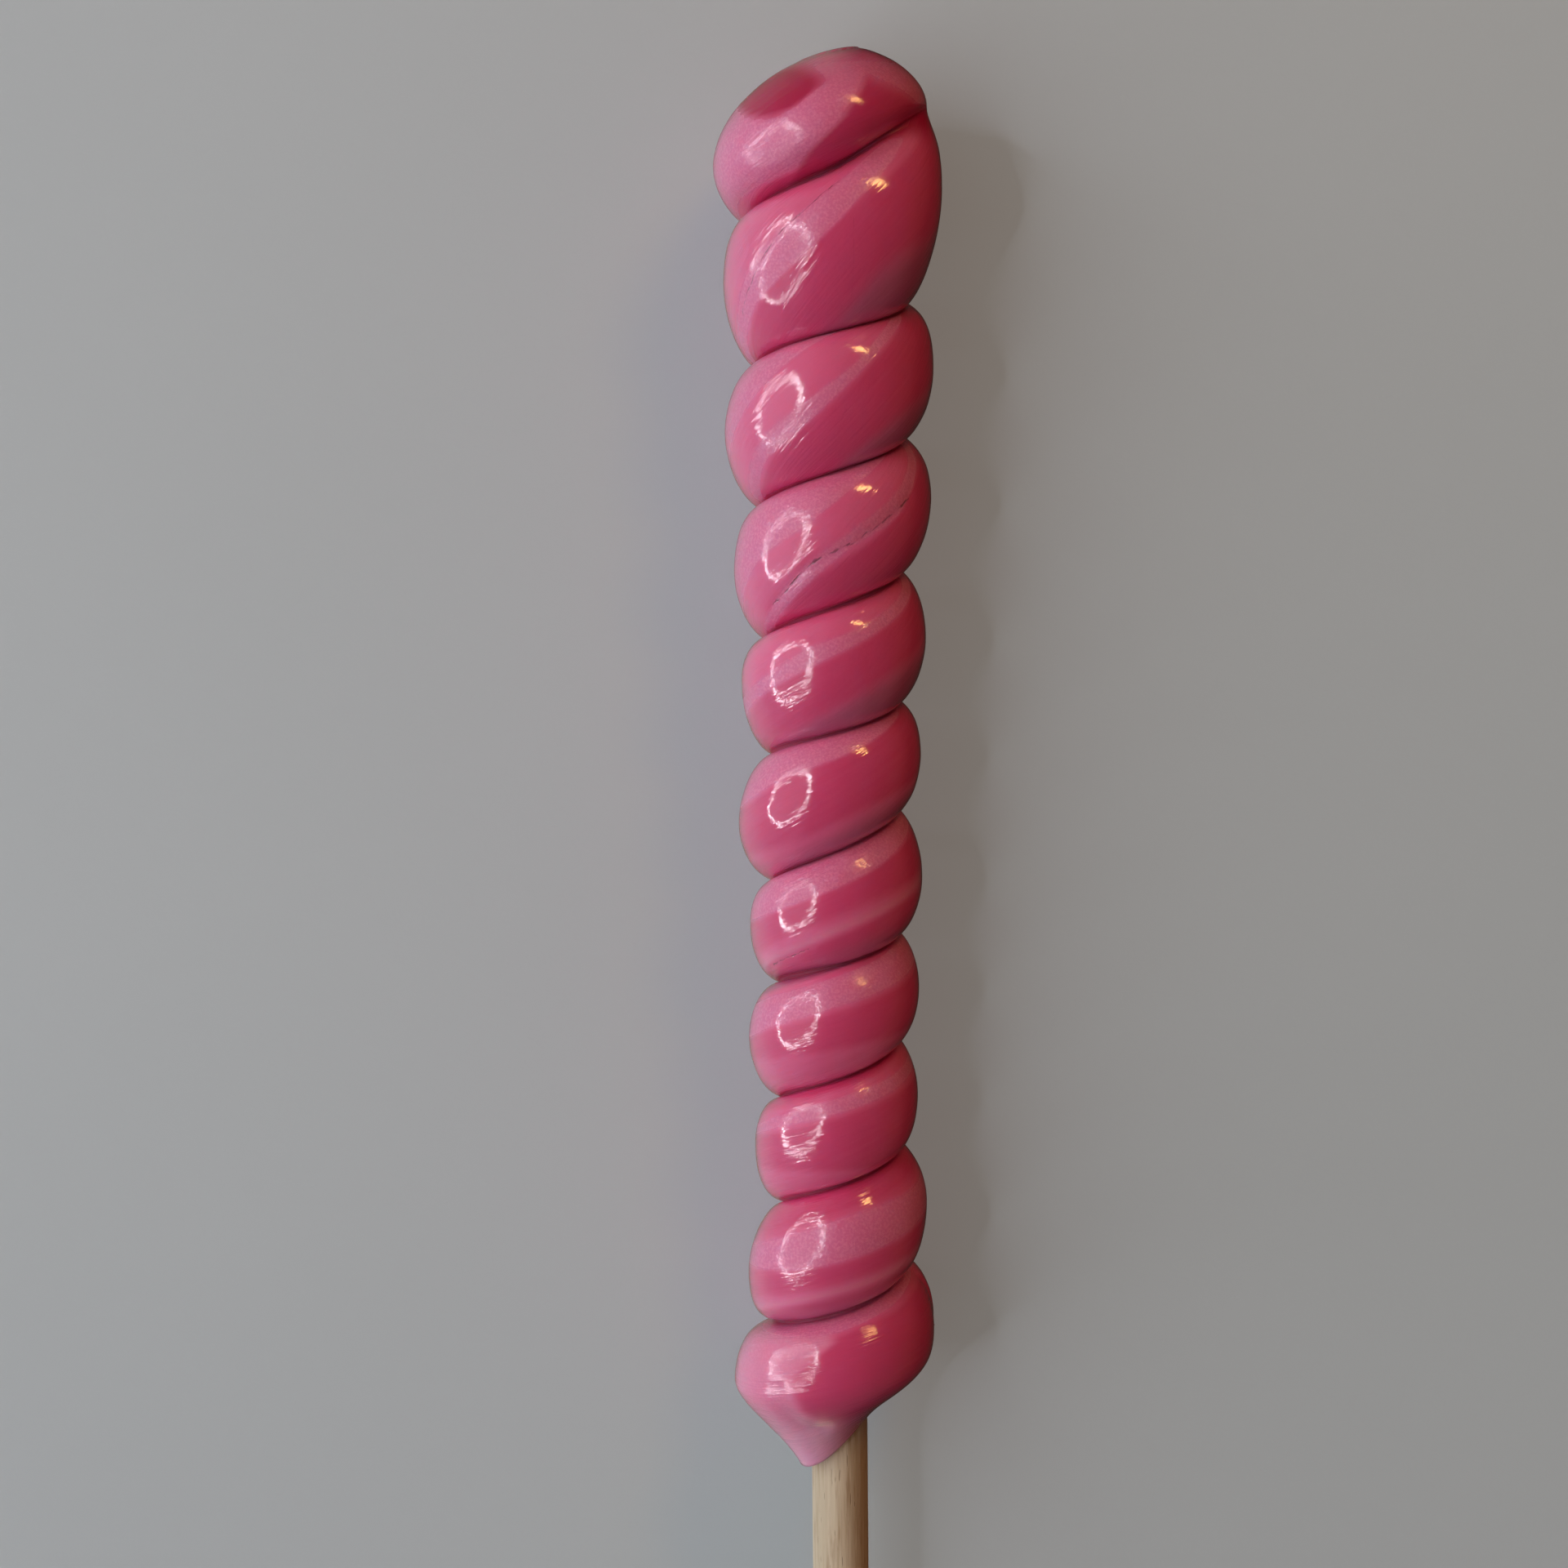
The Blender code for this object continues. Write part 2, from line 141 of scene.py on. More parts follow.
# The stripes in the candy, by kind. Each is a band along the rope: how softly its lower and its
# upper edge blend, as shares across, and then a few places as (turn, from, to).
STRIPES = {
    "pearl": (
        (0.06, 0.06, (
            (-0.10, 0.88, 1.10), (0.08, 0.70, 1.10), (0.22, 0.60, 1.10), (0.33, 0.66, 1.08),
            (0.45, 0.74, 0.98), (0.70, 0.66, 0.80), (1.04, 0.53, 0.65), (1.15, 0.50, 0.68),
            (1.28, 0.49, 0.72), (1.40, 0.50, 0.70), (1.70, 0.54, 0.68), (2.05, 0.58, 0.66),
            (2.15, 0.62, 0.72), (2.30, 0.65, 0.77), (2.46, 0.68, 0.78), (2.70, 0.66, 0.80),
            (3.04, 0.50, 0.72), (3.12, 0.55, 0.77), (3.22, 0.60, 0.82), (3.37, 0.65, 0.90),
            (3.47, 0.68, 0.94), (3.75, 0.64, 1.05), (4.06, 0.53, 1.10), (4.18, 0.59, 1.10),
            (4.32, 0.68, 1.10), (4.44, 0.77, 1.10), (4.65, 0.80, 1.10), (5.05, 0.57, 1.10),
            (5.15, 0.65, 1.10), (5.29, 0.73, 1.10), (5.40, 0.84, 1.10), (5.60, 1.05, 1.20),
        )),
        (0.05, 0.07, (
            (5.65, -0.15, 0.05), (5.80, 0.05, 0.25), (5.92, 0.20, 0.36), (6.05, 0.35, 0.45),
            (6.12, 0.42, 0.51), (6.20, 0.50, 0.62), (6.29, 0.59, 0.69), (6.40, 0.72, 0.82),
            (6.50, 0.86, 0.98), (6.62, 1.05, 1.15),
        )),
        (0.05, 0.06, (
            (6.65, -0.15, 0.10), (6.80, 0.00, 0.60), (6.92, 0.14, 1.00), (7.05, 0.33, 1.10),
            (7.12, 0.47, 1.10), (7.21, 0.58, 1.10), (7.31, 0.78, 1.10), (7.45, 1.08, 1.20),
        )),
        (0.04, 0.07, (
            (7.02, -0.08, 0.08), (7.11, 0.10, 0.20), (7.16, 0.20, 0.31), (7.22, 0.32, 0.42),
            (7.28, 0.42, 0.51), (7.37, 0.53, 0.66), (7.43, 0.72, 0.84), (7.55, 1.05, 1.15),
        )),
        (0.06, 0.05, (
            (7.70, -0.10, 0.15), (7.85, 0.08, 0.55), (7.97, 0.26, 0.95), (8.08, 0.48, 1.10),
            (8.16, 0.68, 1.10), (8.24, 0.88, 1.10), (8.34, 1.10, 1.20),
        )),
        (0.04, 0.06, (
            (8.00, -0.10, 0.05), (8.07, 0.10, 0.23), (8.13, 0.27, 0.38), (8.21, 0.40, 0.51),
            (8.29, 0.58, 0.66), (8.36, 0.77, 0.88), (8.46, 1.02, 1.12),
        )),
        (0.04, 0.10, (
            (8.97, -0.10, 0.08), (9.05, 0.15, 0.27), (9.12, 0.30, 0.47), (9.20, 0.42, 0.62),
            (9.28, 0.58, 0.80), (9.33, 0.72, 0.92), (9.38, 0.90, 1.00), (9.42, 1.08, 1.12),
        )),
        (0.16, 0.40, (
            (9.80, 0.30, 1.20), (9.95, 0.30, 1.50), (10.10, 0.33, 1.60), (10.25, 0.36, 1.55),
            (10.60, 0.36, 1.50),
        )),
    ),
    "pale": (
        (0.04, 0.12, (
            (0.85, 0.14, 0.17), (1.06, 0.26, 0.29), (1.15, 0.30, 0.33), (1.26, 0.32, 0.34),
            (1.38, 0.31, 0.33), (1.47, 0.29, 0.31), (1.80, 0.29, 0.31),
        )),
        (0.04, 0.12, (
            (3.75, -0.05, 0.03), (4.03, 0.18, 0.24), (4.10, 0.25, 0.30), (4.16, 0.30, 0.34),
            (4.25, 0.38, 0.41), (4.38, 0.46, 0.48), (4.50, 0.52, 0.54), (4.80, 0.61, 0.63),
        )),
    ),
    "deep": (
        (0.26, 0.12, (
            (-0.50, -0.62, 0.40), (0.14, -0.60, 0.50), (0.24, -0.52, 0.54), (0.30, -0.58, 0.60),
            (0.37, -0.60, 0.60), (0.42, -0.42, 0.62), (0.49, 0.14, 0.62), (0.62, 0.12, 0.60),
            (0.78, 0.10, 0.40),
        )),
        (0.06, 0.05, (
            (0.70, 0.00, 0.20), (0.85, -0.15, 0.14), (1.00, -0.15, 0.21), (1.15, -0.15, 0.27),
            (1.40, -0.15, 0.28), (1.80, -0.15, 0.24),
        )),
        (0.10, 0.12, (
            (0.75, 0.92, 1.10), (1.04, 0.68, 1.10), (1.26, 0.74, 1.10), (1.45, 0.74, 1.10),
            (1.75, 0.74, 1.10), (2.05, 0.74, 1.10), (2.30, 0.86, 1.10), (2.60, 0.95, 1.10),
        )),
        (0.08, 0.05, (
            (0.90, 0.34, 0.46), (1.04, 0.36, 0.52), (1.20, 0.38, 0.49), (1.45, 0.37, 0.49),
            (1.75, 0.38, 0.52), (2.06, 0.37, 0.57), (2.22, 0.30, 0.61), (2.40, 0.14, 0.64),
            (2.65, 0.20, 0.60), (3.00, 0.36, 0.49), (3.17, 0.38, 0.56), (3.35, 0.36, 0.62),
            (3.50, 0.30, 0.66), (3.80, 0.28, 0.58), (4.04, 0.32, 0.52), (4.20, 0.44, 0.60),
            (4.40, 0.54, 0.74), (4.70, 0.45, 0.76), (5.05, 0.30, 0.56), (5.17, 0.30, 0.66),
            (5.32, 0.38, 0.76), (5.50, 0.40, 1.00), (5.70, 0.30, 1.10), (5.90, 0.60, 1.10),
        )),
        (0.06, 0.05, (
            (3.95, -0.10, 0.08), (4.10, -0.10, 0.21), (4.25, -0.10, 0.35), (4.45, -0.10, 0.46),
            (4.70, 0.05, 0.30),
        )),
        (0.12, 0.05, (
            (5.85, -0.05, 0.12), (6.05, 0.02, 0.34), (6.12, 0.14, 0.42), (6.20, 0.22, 0.50),
            (6.32, 0.36, 0.62), (6.43, 0.48, 0.76), (6.55, 0.60, 1.00), (6.75, 0.80, 1.10),
        )),
        (0.08, 0.05, (
            (6.98, -0.10, 0.02), (7.11, -0.10, 0.09), (7.20, -0.10, 0.28), (7.33, -0.05, 0.46),
            (7.43, 0.05, 0.70), (7.55, 0.20, 1.00), (7.75, 0.45, 1.10),
        )),
        (0.10, 0.05, (
            (7.97, -0.15, 0.05), (8.09, -0.15, 0.14), (8.15, -0.10, 0.29), (8.23, 0.02, 0.43),
            (8.32, 0.24, 0.64), (8.42, 0.40, 0.92), (8.55, 0.44, 1.10), (8.75, 0.60, 1.10),
        )),
        (0.12, 0.05, (
            (8.95, -0.15, 0.03), (9.05, -0.15, 0.14), (9.15, -0.10, 0.35), (9.25, 0.06, 0.52),
            (9.34, 0.34, 0.70), (9.42, 0.44, 0.90), (9.52, 0.54, 1.10), (9.75, 0.70, 1.10),
        )),
        (0.10, 0.10, (
            (9.86, -0.15, 0.10), (10.05, -0.15, 0.18), (10.16, -0.15, 0.30), (10.60, -0.15, 0.30),
        )),
    ),
    # The spot kind: a crimson spot on the head, then painted shade in the dark pocket where the groove
    # under the head runs out on the right-hand side
    "spot_and_shade": (
        (0.06, 0.16, (
            (9.98, 1.40, 1.42), (10.03, 1.35, 1.50), (10.08, 1.27, 1.56), (10.13, 1.18, 1.56),
            (10.17, 1.14, 1.52), (10.20, 1.17, 1.45), (10.23, 1.27, 1.37), (10.26, 1.30, 1.32),
        )),
        (0.10, 0.20, (
            (10.28, -0.20, 0.08), (10.36, -0.20, 0.22), (10.44, -0.20, 0.28), (10.56, -0.20, 0.22),
        )),
        (0.16, 0.10, (
            (9.31, 1.05, 1.15), (9.37, 0.95, 1.15), (9.43, 0.88, 1.15), (9.54, 0.95, 1.15),
        )),
    ),
    # Mauve bands, most of them low on a turn towards its right-hand side: partly the sugar's own greyer
    # tone, partly a painted grey sheen
    "mauve_and_sheen": (
        (0.10, 0.24, (
            (0.90, -0.15, 0.04), (1.06, -0.15, 0.16), (1.20, -0.15, 0.23), (1.42, -0.15, 0.22),
            (1.70, -0.15, 0.08),
        )),
        (0.10, 0.24, (
            (3.98, -0.15, 0.00), (4.10, -0.15, 0.08), (4.22, -0.15, 0.18), (4.40, -0.15, 0.26),
            (4.65, 0.00, 0.20),
        )),
        (0.10, 0.20, (
            (2.20, -0.15, 0.04), (2.35, -0.15, 0.12), (2.52, -0.15, 0.16), (2.80, -0.15, 0.05),
        )),
        (0.08, 0.06, (
            (2.92, 0.80, 1.10), (3.04, 0.78, 1.10), (3.14, 0.84, 1.10), (3.26, 0.94, 1.10),
            (3.34, 1.05, 1.15),
        )),
        (0.10, 0.18, (
            (5.08, -0.15, 0.08), (5.17, -0.15, 0.18), (5.24, -0.15, 0.24), (5.32, -0.15, 0.30),
            (5.50, -0.15, 0.30), (5.75, -0.10, 0.10),
        )),
        (0.10, 0.14, (
            (6.04, -0.15, 0.02), (6.12, -0.15, 0.10), (6.24, -0.10, 0.24), (6.32, -0.10, 0.34),
            (6.43, -0.10, 0.44), (6.60, 0.00, 0.50), (6.85, 0.20, 0.40),
        )),
        (0.12, 0.16, (
            (8.22, -0.15, 0.00), (8.30, -0.10, 0.20), (8.39, -0.10, 0.36), (8.52, -0.10, 0.42),
            (8.75, 0.05, 0.30),
        )),
        (0.12, 0.16, (
            (9.18, -0.15, 0.00), (9.26, -0.10, 0.14), (9.32, -0.10, 0.30), (9.40, -0.10, 0.42),
            (9.52, -0.10, 0.52), (9.80, 0.00, 0.40),
        )),
    ),
}
STRIPE_END_FADE = 0.05

# Steep edges, each as how softly it blends, in turns, and the (across, turn) places it runs by. The
# lowest turn is pale to the left of its edge, and its tongue is lilac to the left of another: partly its
# own paler pink, partly a painted lilac sheen and painted light. The head is deep to the right of its
# edge, up to HEAD_DEEP_TO, as (turn, across) places, and a pale ridge runs along the edge. Fades and
# reaches are shares across.
BELLY_EDGE = (0.040, (
    (-1.00, 0.27), (-0.73, 0.23), (-0.58, 0.22), (-0.43, 0.20), (-0.25, 0.18), (0.00, 0.17),
    (0.15, 0.17), (0.32, 0.20), (0.47, 0.235), (0.67, 0.225), (1.00, 0.20),
))
BELLY_PALE_FADE = 0.25
BELLY_PEARL = 0.50
LILAC_AND_SHEEN_EDGE = (0.16, ((-1.0, 0.30), (0.0, 0.16)))
LILAC_AND_SHEEN_FADES = (-0.15, -0.75)
HEAD_EDGE = (0.022, (
    (0.00, 10.17), (0.37, 10.20), (0.62, 10.22), (0.85, 10.25), (1.03, 10.27), (1.17, 10.29),
    (1.32, 10.30), (1.60, 10.33), (2.00, 10.60),
))
HEAD_DEEP_TO = ((10.20, 1.45), (10.30, 1.32), (10.35, 1.16), (10.43, 0.90), (10.60, 0.60))
HEAD_DEEP_SOFT = 0.30
HEAD_DEEP_FADE = 0.15
HEAD_DEEP_SPOT = 0.55
RIDGE_PALE = 0.75
RIDGE_REACHES = (0.45, 1.45)
RIDGE_SOFT = 0.45

# Cracks that run with the stripes, darkened with painted shade, by the (turn, across) places each goes
# through
CRACKS = (
    ((7.12, 0.22), (7.17, 0.30), (7.20, 0.37), (7.25, 0.42), (7.29, 0.45), (7.33, 0.50), (7.39, 0.58)),
    ((4.06, 0.17), (4.10, 0.22), (4.16, 0.27), (4.20, 0.31)),
    ((9.08, 0.30), (9.12, 0.40), (9.16, 0.52), (9.22, 0.66), (9.28, 0.80)),
)
NO_CRACK_NEAR_MM = 9.0

# How far from a groove's line the painted shade of its crease reaches, as a share across
CREASE_HALF_WIDTH = 0.07

# How far the stripes turn round the rope itself, in shares of its girth for each turn of the winding
ROPE_TWIST = (
    (-0.5, 0.0), (1.25, 0.15), (2.25, 0.25), (3.25, 0.32), (4.25, 0.50), (5.25, 0.38),
    (6.25, 0.65), (7.25, 1.12), (8.25, 1.25), (9.25, 1.20), (10.9, 1.20),
)

# Lengths on the skin, for relief and texture that keep one scale all over
ONE_TURN_LENGTH = 64.0 * MM
ONE_ACROSS_LENGTH = 16.0 * MM

# Low relief. Each furrow is its depth and half-width in mm and the (turn, across) places it runs by.
BELLY_FURROW = (
    (0.145, 0.05), (0.15, -0.10), (0.155, -0.25), (0.165, -0.42), (0.185, -0.56), (0.21, -0.60),
)
FURROWS = (
    (0.16, 0.40, CRACKS[0]),
    (0.10, 0.40, CRACKS[1]),
    (0.26, 1.30, BELLY_FURROW),
    (0.08, 0.45, CRACKS[2]),
)

# Uneven waves, each as its length and depth in mm. They go in more than out, by a share of the depth.
WAVES = ((13.0, 0.16), (5.5, 0.05), (2.3, 0.030))
WAVE_INWARD = 0.5
WAVE_SHIFT = 10.0
SEED = 7

# Camera. The focal length is in pixels of the photograph's frame, and the place is round the axis.
PHOTO_PIXELS = 1920
FOCAL_PIXELS = 3342
SENSOR_WIDTH_MM = 36.0
CAMERA_PLACE = Vector((-5.24, 101.9, 286.0)) * MM
CAMERA_PITCH = math.radians(5.55)
CAMERA_ROLL = math.radians(-0.619)
CAMERA_SEES_FROM = 10 * MM

# Lamps, by how they stand as seen from the middle of the candy. The ring is a disk whose wide middle
# only glows. Places on a lamp's face run from 0 to 1 both ways.
CANDY_MIDDLE = Vector((0.0, 75.0, 0.0)) * MM
FACE_MIDDLE = (0.5, 0.5, 0.0)
RING_AZIMUTH = math.radians(-57)
RING_ELEVATION = math.radians(3)
RING_DISTANCE = 400 * MM
RING_DIAMETER = 440 * MM
RING_HOLE_SHARE = 0.945
RING_HOLE_GLOW = 0.013
RING_POWER = 11.0
RING_COLOUR = (0.92, 0.92, 1.0)
WARM_AZIMUTH = math.radians(32)
WARM_ELEVATION = math.radians(46)
WARM_DISTANCE = 700 * MM
WARM_WIDTH = 240 * MM
WARM_HEIGHT = 70 * MM
WARM_POWER = 0.80
WARM_COLOUR = (1.0, 0.52, 0.17)

# Soft light from all round, by direction. The colours run from left to right, and the last four are
# how strong the light from below is on the two sides, between which X it turns from the one into the
# other, and from which Z down it is at that strength.
LIGHT_FROM_LEFT = (0.53, 0.56, 0.61, 1.0)
LIGHT_FROM_LEFT_REACHES = 0.40
LIGHT_FROM_ABOVE = (0.185, 0.150, 0.135, 1.0)
LIGHT_FROM_RIGHT = (0.140, 0.052, 0.027, 1.0)
LIGHT_FROM_BELOW_LEFT = 1.30
LIGHT_FROM_BELOW_RIGHT = 0.15
LIGHT_FROM_BELOW_TURNS = (-0.06, 0.06)
LIGHT_FROM_BELOW_STARTS = -0.45

FLOOR_SIZE = 6.0


def axis_placement():
    """Where the candy's own axis lies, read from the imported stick."""
    points = np.array([v.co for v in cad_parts["stick"].data.vertices])
    ends = []
    for side in (-1, 1):
        reach = side * points[:, 1]
        end = points[reach > reach.max() - STICK_END_DEPTH]
        middle = (end.min(axis=0) + end.max(axis=0)) / 2
        ends.append(Vector((middle[0], side * reach.max(), middle[2])))
    low, high = ends
    turned = Matrix.Rotation(math.atan2(high.z - low.z, high.y - low.y), 4, "X")
    return Matrix.Translation(high - turned @ Vector((0, STICK_IN_CANDY, 0))) @ turned


def angle_at(turn):
    """The angle round the axis that the rope has reached at this turn."""
    return 2 * math.pi * turn - math.pi / 2


def smooth_step(x):
    x = np.clip(x, 0.0, 1.0)
    return x * x * (3 - 2 * x)


def smooth_curve(x, xs, ys):
    """A curve through the points xs, ys, smooth at each of them (a cubic Hermite spline)."""
    slopes = np.gradient(ys, xs)
    k = np.clip(np.searchsorted(xs, x) - 1, 0, len(xs) - 2)
    span = xs[k + 1] - xs[k]
    s = np.clip((x - xs[k]) / span, 0.0, 1.0)
    start = (1 + 2 * s) * (1 - s) ** 2 * ys[k] + s * (1 - s) ** 2 * span * slopes[k]
    end = s * s * (3 - 2 * s) * ys[k + 1] + s * s * (s - 1) * span * slopes[k + 1]
    return start + end


def belly_height(turn):
    """The closed line round the lowest turn where it is widest."""
    return BELLY_HEIGHT + BELLY_TILT * np.sin(angle_at(turn))


def head_height(turn):
    """The closed line round the head where it is widest."""
    return HEAD_HEIGHT + HEAD_TILT * np.sin(angle_at(turn))


def groove_height(turn):
    """The height of the groove below the rope."""
    turns, heights, _, _ = np.array(WINDING).T
    turns = np.append(turns, LAST_TURN)
    heights = np.append(heights * MM, head_height(LAST_TURN))
    heights[0] = belly_height(turns[0])
    height = smooth_curve(turn, turns, heights)
    last_row = turns[-2]
    return np.where(turn > last_row, np.minimum(height, head_height(turn)), height)


def rope_radius(turn):
    """How far the middle of the rope stands out from the axis."""
    turns, _, radii, _ = np.array(WINDING).T
    radii = radii * MM
    back_of_head = smooth_curve(LAST_TURN - 1, turns, radii)
    turns = np.concatenate(([FIRST_TURN, 0.0], turns, [LAST_TURN]))
    radii = np.concatenate(([radii[0], BELLY_LEFT_RADIUS], radii, [back_of_head]))
    return smooth_curve(turn, turns, radii)


def bulge_share(turn):
    """Where the rope stands out the most, as a share of the way from groove to groove."""
    turns, _, _, shares = np.array(WINDING).T
    return np.interp(turn, turns, shares)


def side_value(angle, left_and_right):
    """A value that changes evenly from the left-hand to the right-hand side."""
    left, right = left_and_right
    return left + (right - left) * (1 + np.sin(angle)) / 2


def groove_closing(turn):
    """0 along the rope, rising to 1 where the groove runs out on the head."""
    full, shut = GROOVE_CLOSES
    return smooth_step((turn - full) / (shut - full))


def groove_openness(turn):
    """0 where there is no groove, at the rope's two ends, and 1 where it is at full depth."""
    opens = smooth_step((turn - (FIRST_TURN + 1)) / GROOVE_OPENS_OVER)
    return np.sqrt(opens) * (1 - groove_closing(turn))


def ring_points(angle, from_axis, height, centre_x=0.0):
    """Points round the axis: angle 0 is +Z and 90 degrees is +X."""
    x = centre_x + from_axis * np.sin(angle)
    z = from_axis * np.cos(angle)
    return np.stack(np.broadcast_arrays(x, height, z), axis=-1)


def rope_skin():
    """The rope's outer skin as (points, turn, across), from the groove below it to the one above."""
    steps = round((LAST_TURN - FIRST_TURN) * COLUMNS_PER_TURN)
    turn = np.linspace(FIRST_TURN, LAST_TURN, steps + 1)[:, None]
    on_belly = turn <= FIRST_TURN + 1 + SAME_TURN
    on_head = turn >= LAST_TURN - 1 - SAME_TURN

    open_below = np.where(on_belly, 0.0, groove_openness(turn))
    open_above = np.where(on_head, 0.0, groove_openness(turn + 1))
    below = np.where(on_belly, belly_height(turn), groove_height(turn))
    above = np.where(on_head, head_height(turn), groove_height(turn + 1))

    start = np.arcsin(1 - open_below)
    end = math.pi - np.arcsin(1 - open_above)
    share = np.linspace(0.0, 1.0, ROWS_ACROSS_ROPE + 1)[None, :]
    section_angle = start + (end - start) * share
    span = np.cos(start) - np.cos(end)
    round_rise = (np.cos(start) - np.cos(section_angle)) / np.maximum(span, NO_SPAN)
    rise = np.where(span > NO_SPAN, round_rise, share)
    rise = rise + (bulge_share(turn) - 0.5) * 4 * rise * (1 - rise)
    height = below + (above - below) * rise

    radius = rope_radius(turn)
    meet_below = np.where(on_belly, 0.0, (rope_radius(turn - 1) - radius) / 2)
    meet_above = np.where(on_head, 0.0, (rope_radius(turn + 1) - radius) / 2)
    near_below = smooth_step(1 - 2 * share) * (1 - groove_closing(turn))
    near_above = smooth_step(2 * share - 1)
    near_above = near_above + groove_closing(turn + 1) * near_above**CLOSING_STEEPNESS
    outline = radius + meet_below * near_below + meet_above * near_above
    depth = GROOVE_DEPTH_SHARE * outline
    from_axis = outline - depth * (1 - np.sin(section_angle))
    return ring_points(angle_at(turn), from_axis, height), turn, share


def head_skin():
    """The dome over the end of the stick, from the head's widest line to its peak."""
    turn = np.linspace(LAST_TURN - 1, LAST_TURN, COLUMNS_PER_TURN + 1)[:, None]
    share = np.linspace(0.0, 1.0, ROWS_ON_HEAD + 1)[None, :]
    rise = share * math.pi / 2
    height = head_height(turn) + (CANDY_LENGTH - head_height(turn)) * np.sin(rise)
    from_axis = rope_radius(turn) * np.cos(rise) ** HEAD_POINTEDNESS
    centre_x = HEAD_PEAK_RIGHT * (1 - np.cos(rise))
    return ring_points(angle_at(turn), from_axis, height, centre_x), turn, 1 + share


def tongue_share(angle):
    """1 in the middle of the tongue at the lower lip, falling to 0 round the far side."""
    return ((1 + np.cos(angle - TONGUE_ANGLE)) / 2) ** TONGUE_SHARPNESS


def bezier(controls, share):
    a, b, c, d = controls
    rest = 1 - share
    return a * rest**3 + 3 * b * rest**2 * share + 3 * c * rest * share**2 + d * share**3


def belly_skin():
    """From the belly's widest line down to the lip, then up the bore, which hugs the stick."""
    turn = np.linspace(FIRST_TURN, FIRST_TURN + 1, COLUMNS_PER_TURN + 1)[:, None]
    angle = angle_at(turn)
    share = np.linspace(0.0, 1.0, ROWS_ON_BELLY + 1)[None, :]

    wide = rope_radius(turn)
    top = belly_height(turn)
    tongue = tongue_share(angle)
    narrow = STICK_DIAMETER / 2 + LIP_THICKNESS + TONGUE_THICKNESS * tongue
    bottom = TONGUE_TIP_HEIGHT + LIP_RISE * (1 - tongue)
    drop = top - bottom
    funnel = narrow + (wide - narrow) * side_value(angle, FUNNEL_WIDTH)
    funnel_height = bottom + drop * side_value(angle, FUNNEL_HEIGHT)
    belly = top - drop * side_value(angle, BELLY_FULLNESS)
    from_axis = bezier((wide, wide, funnel, narrow), share)
    height = bezier((top, belly, funnel_height, bottom), share)

    bore = STICK_DIAMETER / 2 - BORE_INSIDE_STICK
    bore_top = STICK_IN_CANDY + BORE_END_GAP
    inner_rings = ((bore, bottom + LIP_THICKNESS), (bore, bore_top), (0.0, bore_top))
    for radius, level in inner_rings:
        from_axis = np.hstack([from_axis, np.full_like(bottom, radius)])
        height = np.hstack([height, np.broadcast_to(level, bottom.shape)])
    across = np.hstack([-share, np.full((1, len(inner_rings)), -1.0)])
    return ring_points(angle, from_axis, height), turn, across


def stripe_band(stripe, turn, across):
    """How much of one stripe there is at each place, from 0 to 1."""
    soft_below, soft_above, places = stripe
    turns, lows, highs = np.array(places).T
    low = smooth_curve(turn, turns, lows)
    high = smooth_curve(turn, turns, highs)
    from_below = smooth_step((across - low) / soft_below + 0.5)
    from_above = smooth_step((high - across) / soft_above + 0.5)
    begins = smooth_step((turn - turns[0]) / STRIPE_END_FADE)
    ends = smooth_step((turns[-1] - turn) / STRIPE_END_FADE)
    return from_below * from_above * begins * ends


def stripe_amount(kind, turn, across):
    amount = np.zeros(np.broadcast(turn, across).shape)
    for stripe in STRIPES[kind]:
        amount = np.maximum(amount, stripe_band(stripe, turn, across))
    return amount


def left_of_edge(edge, turn, across):
    """1 to the left of a steep edge, falling to 0 to the right of it."""
    softness, places = edge
    across_places, turns = np.array(places).T
    return smooth_step((np.interp(across, across_places, turns) - turn) / softness + 0.5)


def deep_on_head(turn, across):
    """1 on the right of the head, falling to 0 at its steep edge, at its peak and at the back."""
    turns, highest = np.array(HEAD_DEEP_TO).T
    below_peak = smooth_step((np.interp(turn, turns, highest) - across) / HEAD_DEEP_SOFT + 0.5)
    before_back = smooth_step((LAST_TURN - turn) / HEAD_DEEP_FADE)
    return (1 - left_of_edge(HEAD_EDGE, turn, across)) * below_peak * before_back


def stripe_paint(turn, across):
    """The amounts of pearl, deep, mauve with its painted sheen, and pale at each place. A spot, or
    painted shade of its kind, is never pearly.
    """
    pale_part = left_of_edge(BELLY_EDGE, turn, across)
    pale_part = pale_part * smooth_step((turn - FIRST_TURN) / BELLY_PALE_FADE)
    left_of_head_edge = left_of_edge(HEAD_EDGE, turn, across)
    low, high = RIDGE_REACHES
    ridge = 4 * left_of_head_edge * (1 - left_of_head_edge)
    ridge = ridge * smooth_step((across - low) / RIDGE_SOFT + 0.5)
    ridge = ridge * smooth_step((high - across) / RIDGE_SOFT + 0.5)

    pearl = stripe_amount("pearl", turn, across) * (1 - deep_on_head(turn, across))
    pearl = np.maximum(pearl, BELLY_PEARL * pale_part) * (1 - stripe_amount("spot_and_shade", turn, across))
    deep = stripe_amount("deep", turn, across) * (1 - pale_part)
    deep = np.maximum(deep, deep_on_head(turn, across))
    mauve_and_sheen = stripe_amount("mauve_and_sheen", turn, across)
    pale = np.maximum(stripe_amount("pale", turn, across), pale_part)
    pale = np.maximum(pale, RIDGE_PALE * ridge)
    return np.stack((pearl, deep, mauve_and_sheen, pale), axis=-1)


def crack_gap(turn, across):
    """How far in mm each place lies above the crack nearest to it, less than 0 where it is below."""
    nearest = np.full(np.broadcast(turn, across).shape, NO_CRACK_NEAR_MM)
    for path in CRACKS:
        turns, middles = np.array(path).T
        gap = (across - smooth_curve(turn, turns, middles)) * ONE_ACROSS_LENGTH / MM
        beside = (turn > turns[0]) & (turn < turns[-1])
        nearest = np.where(beside & (np.abs(gap) < np.abs(nearest)), gap, nearest)
    return nearest


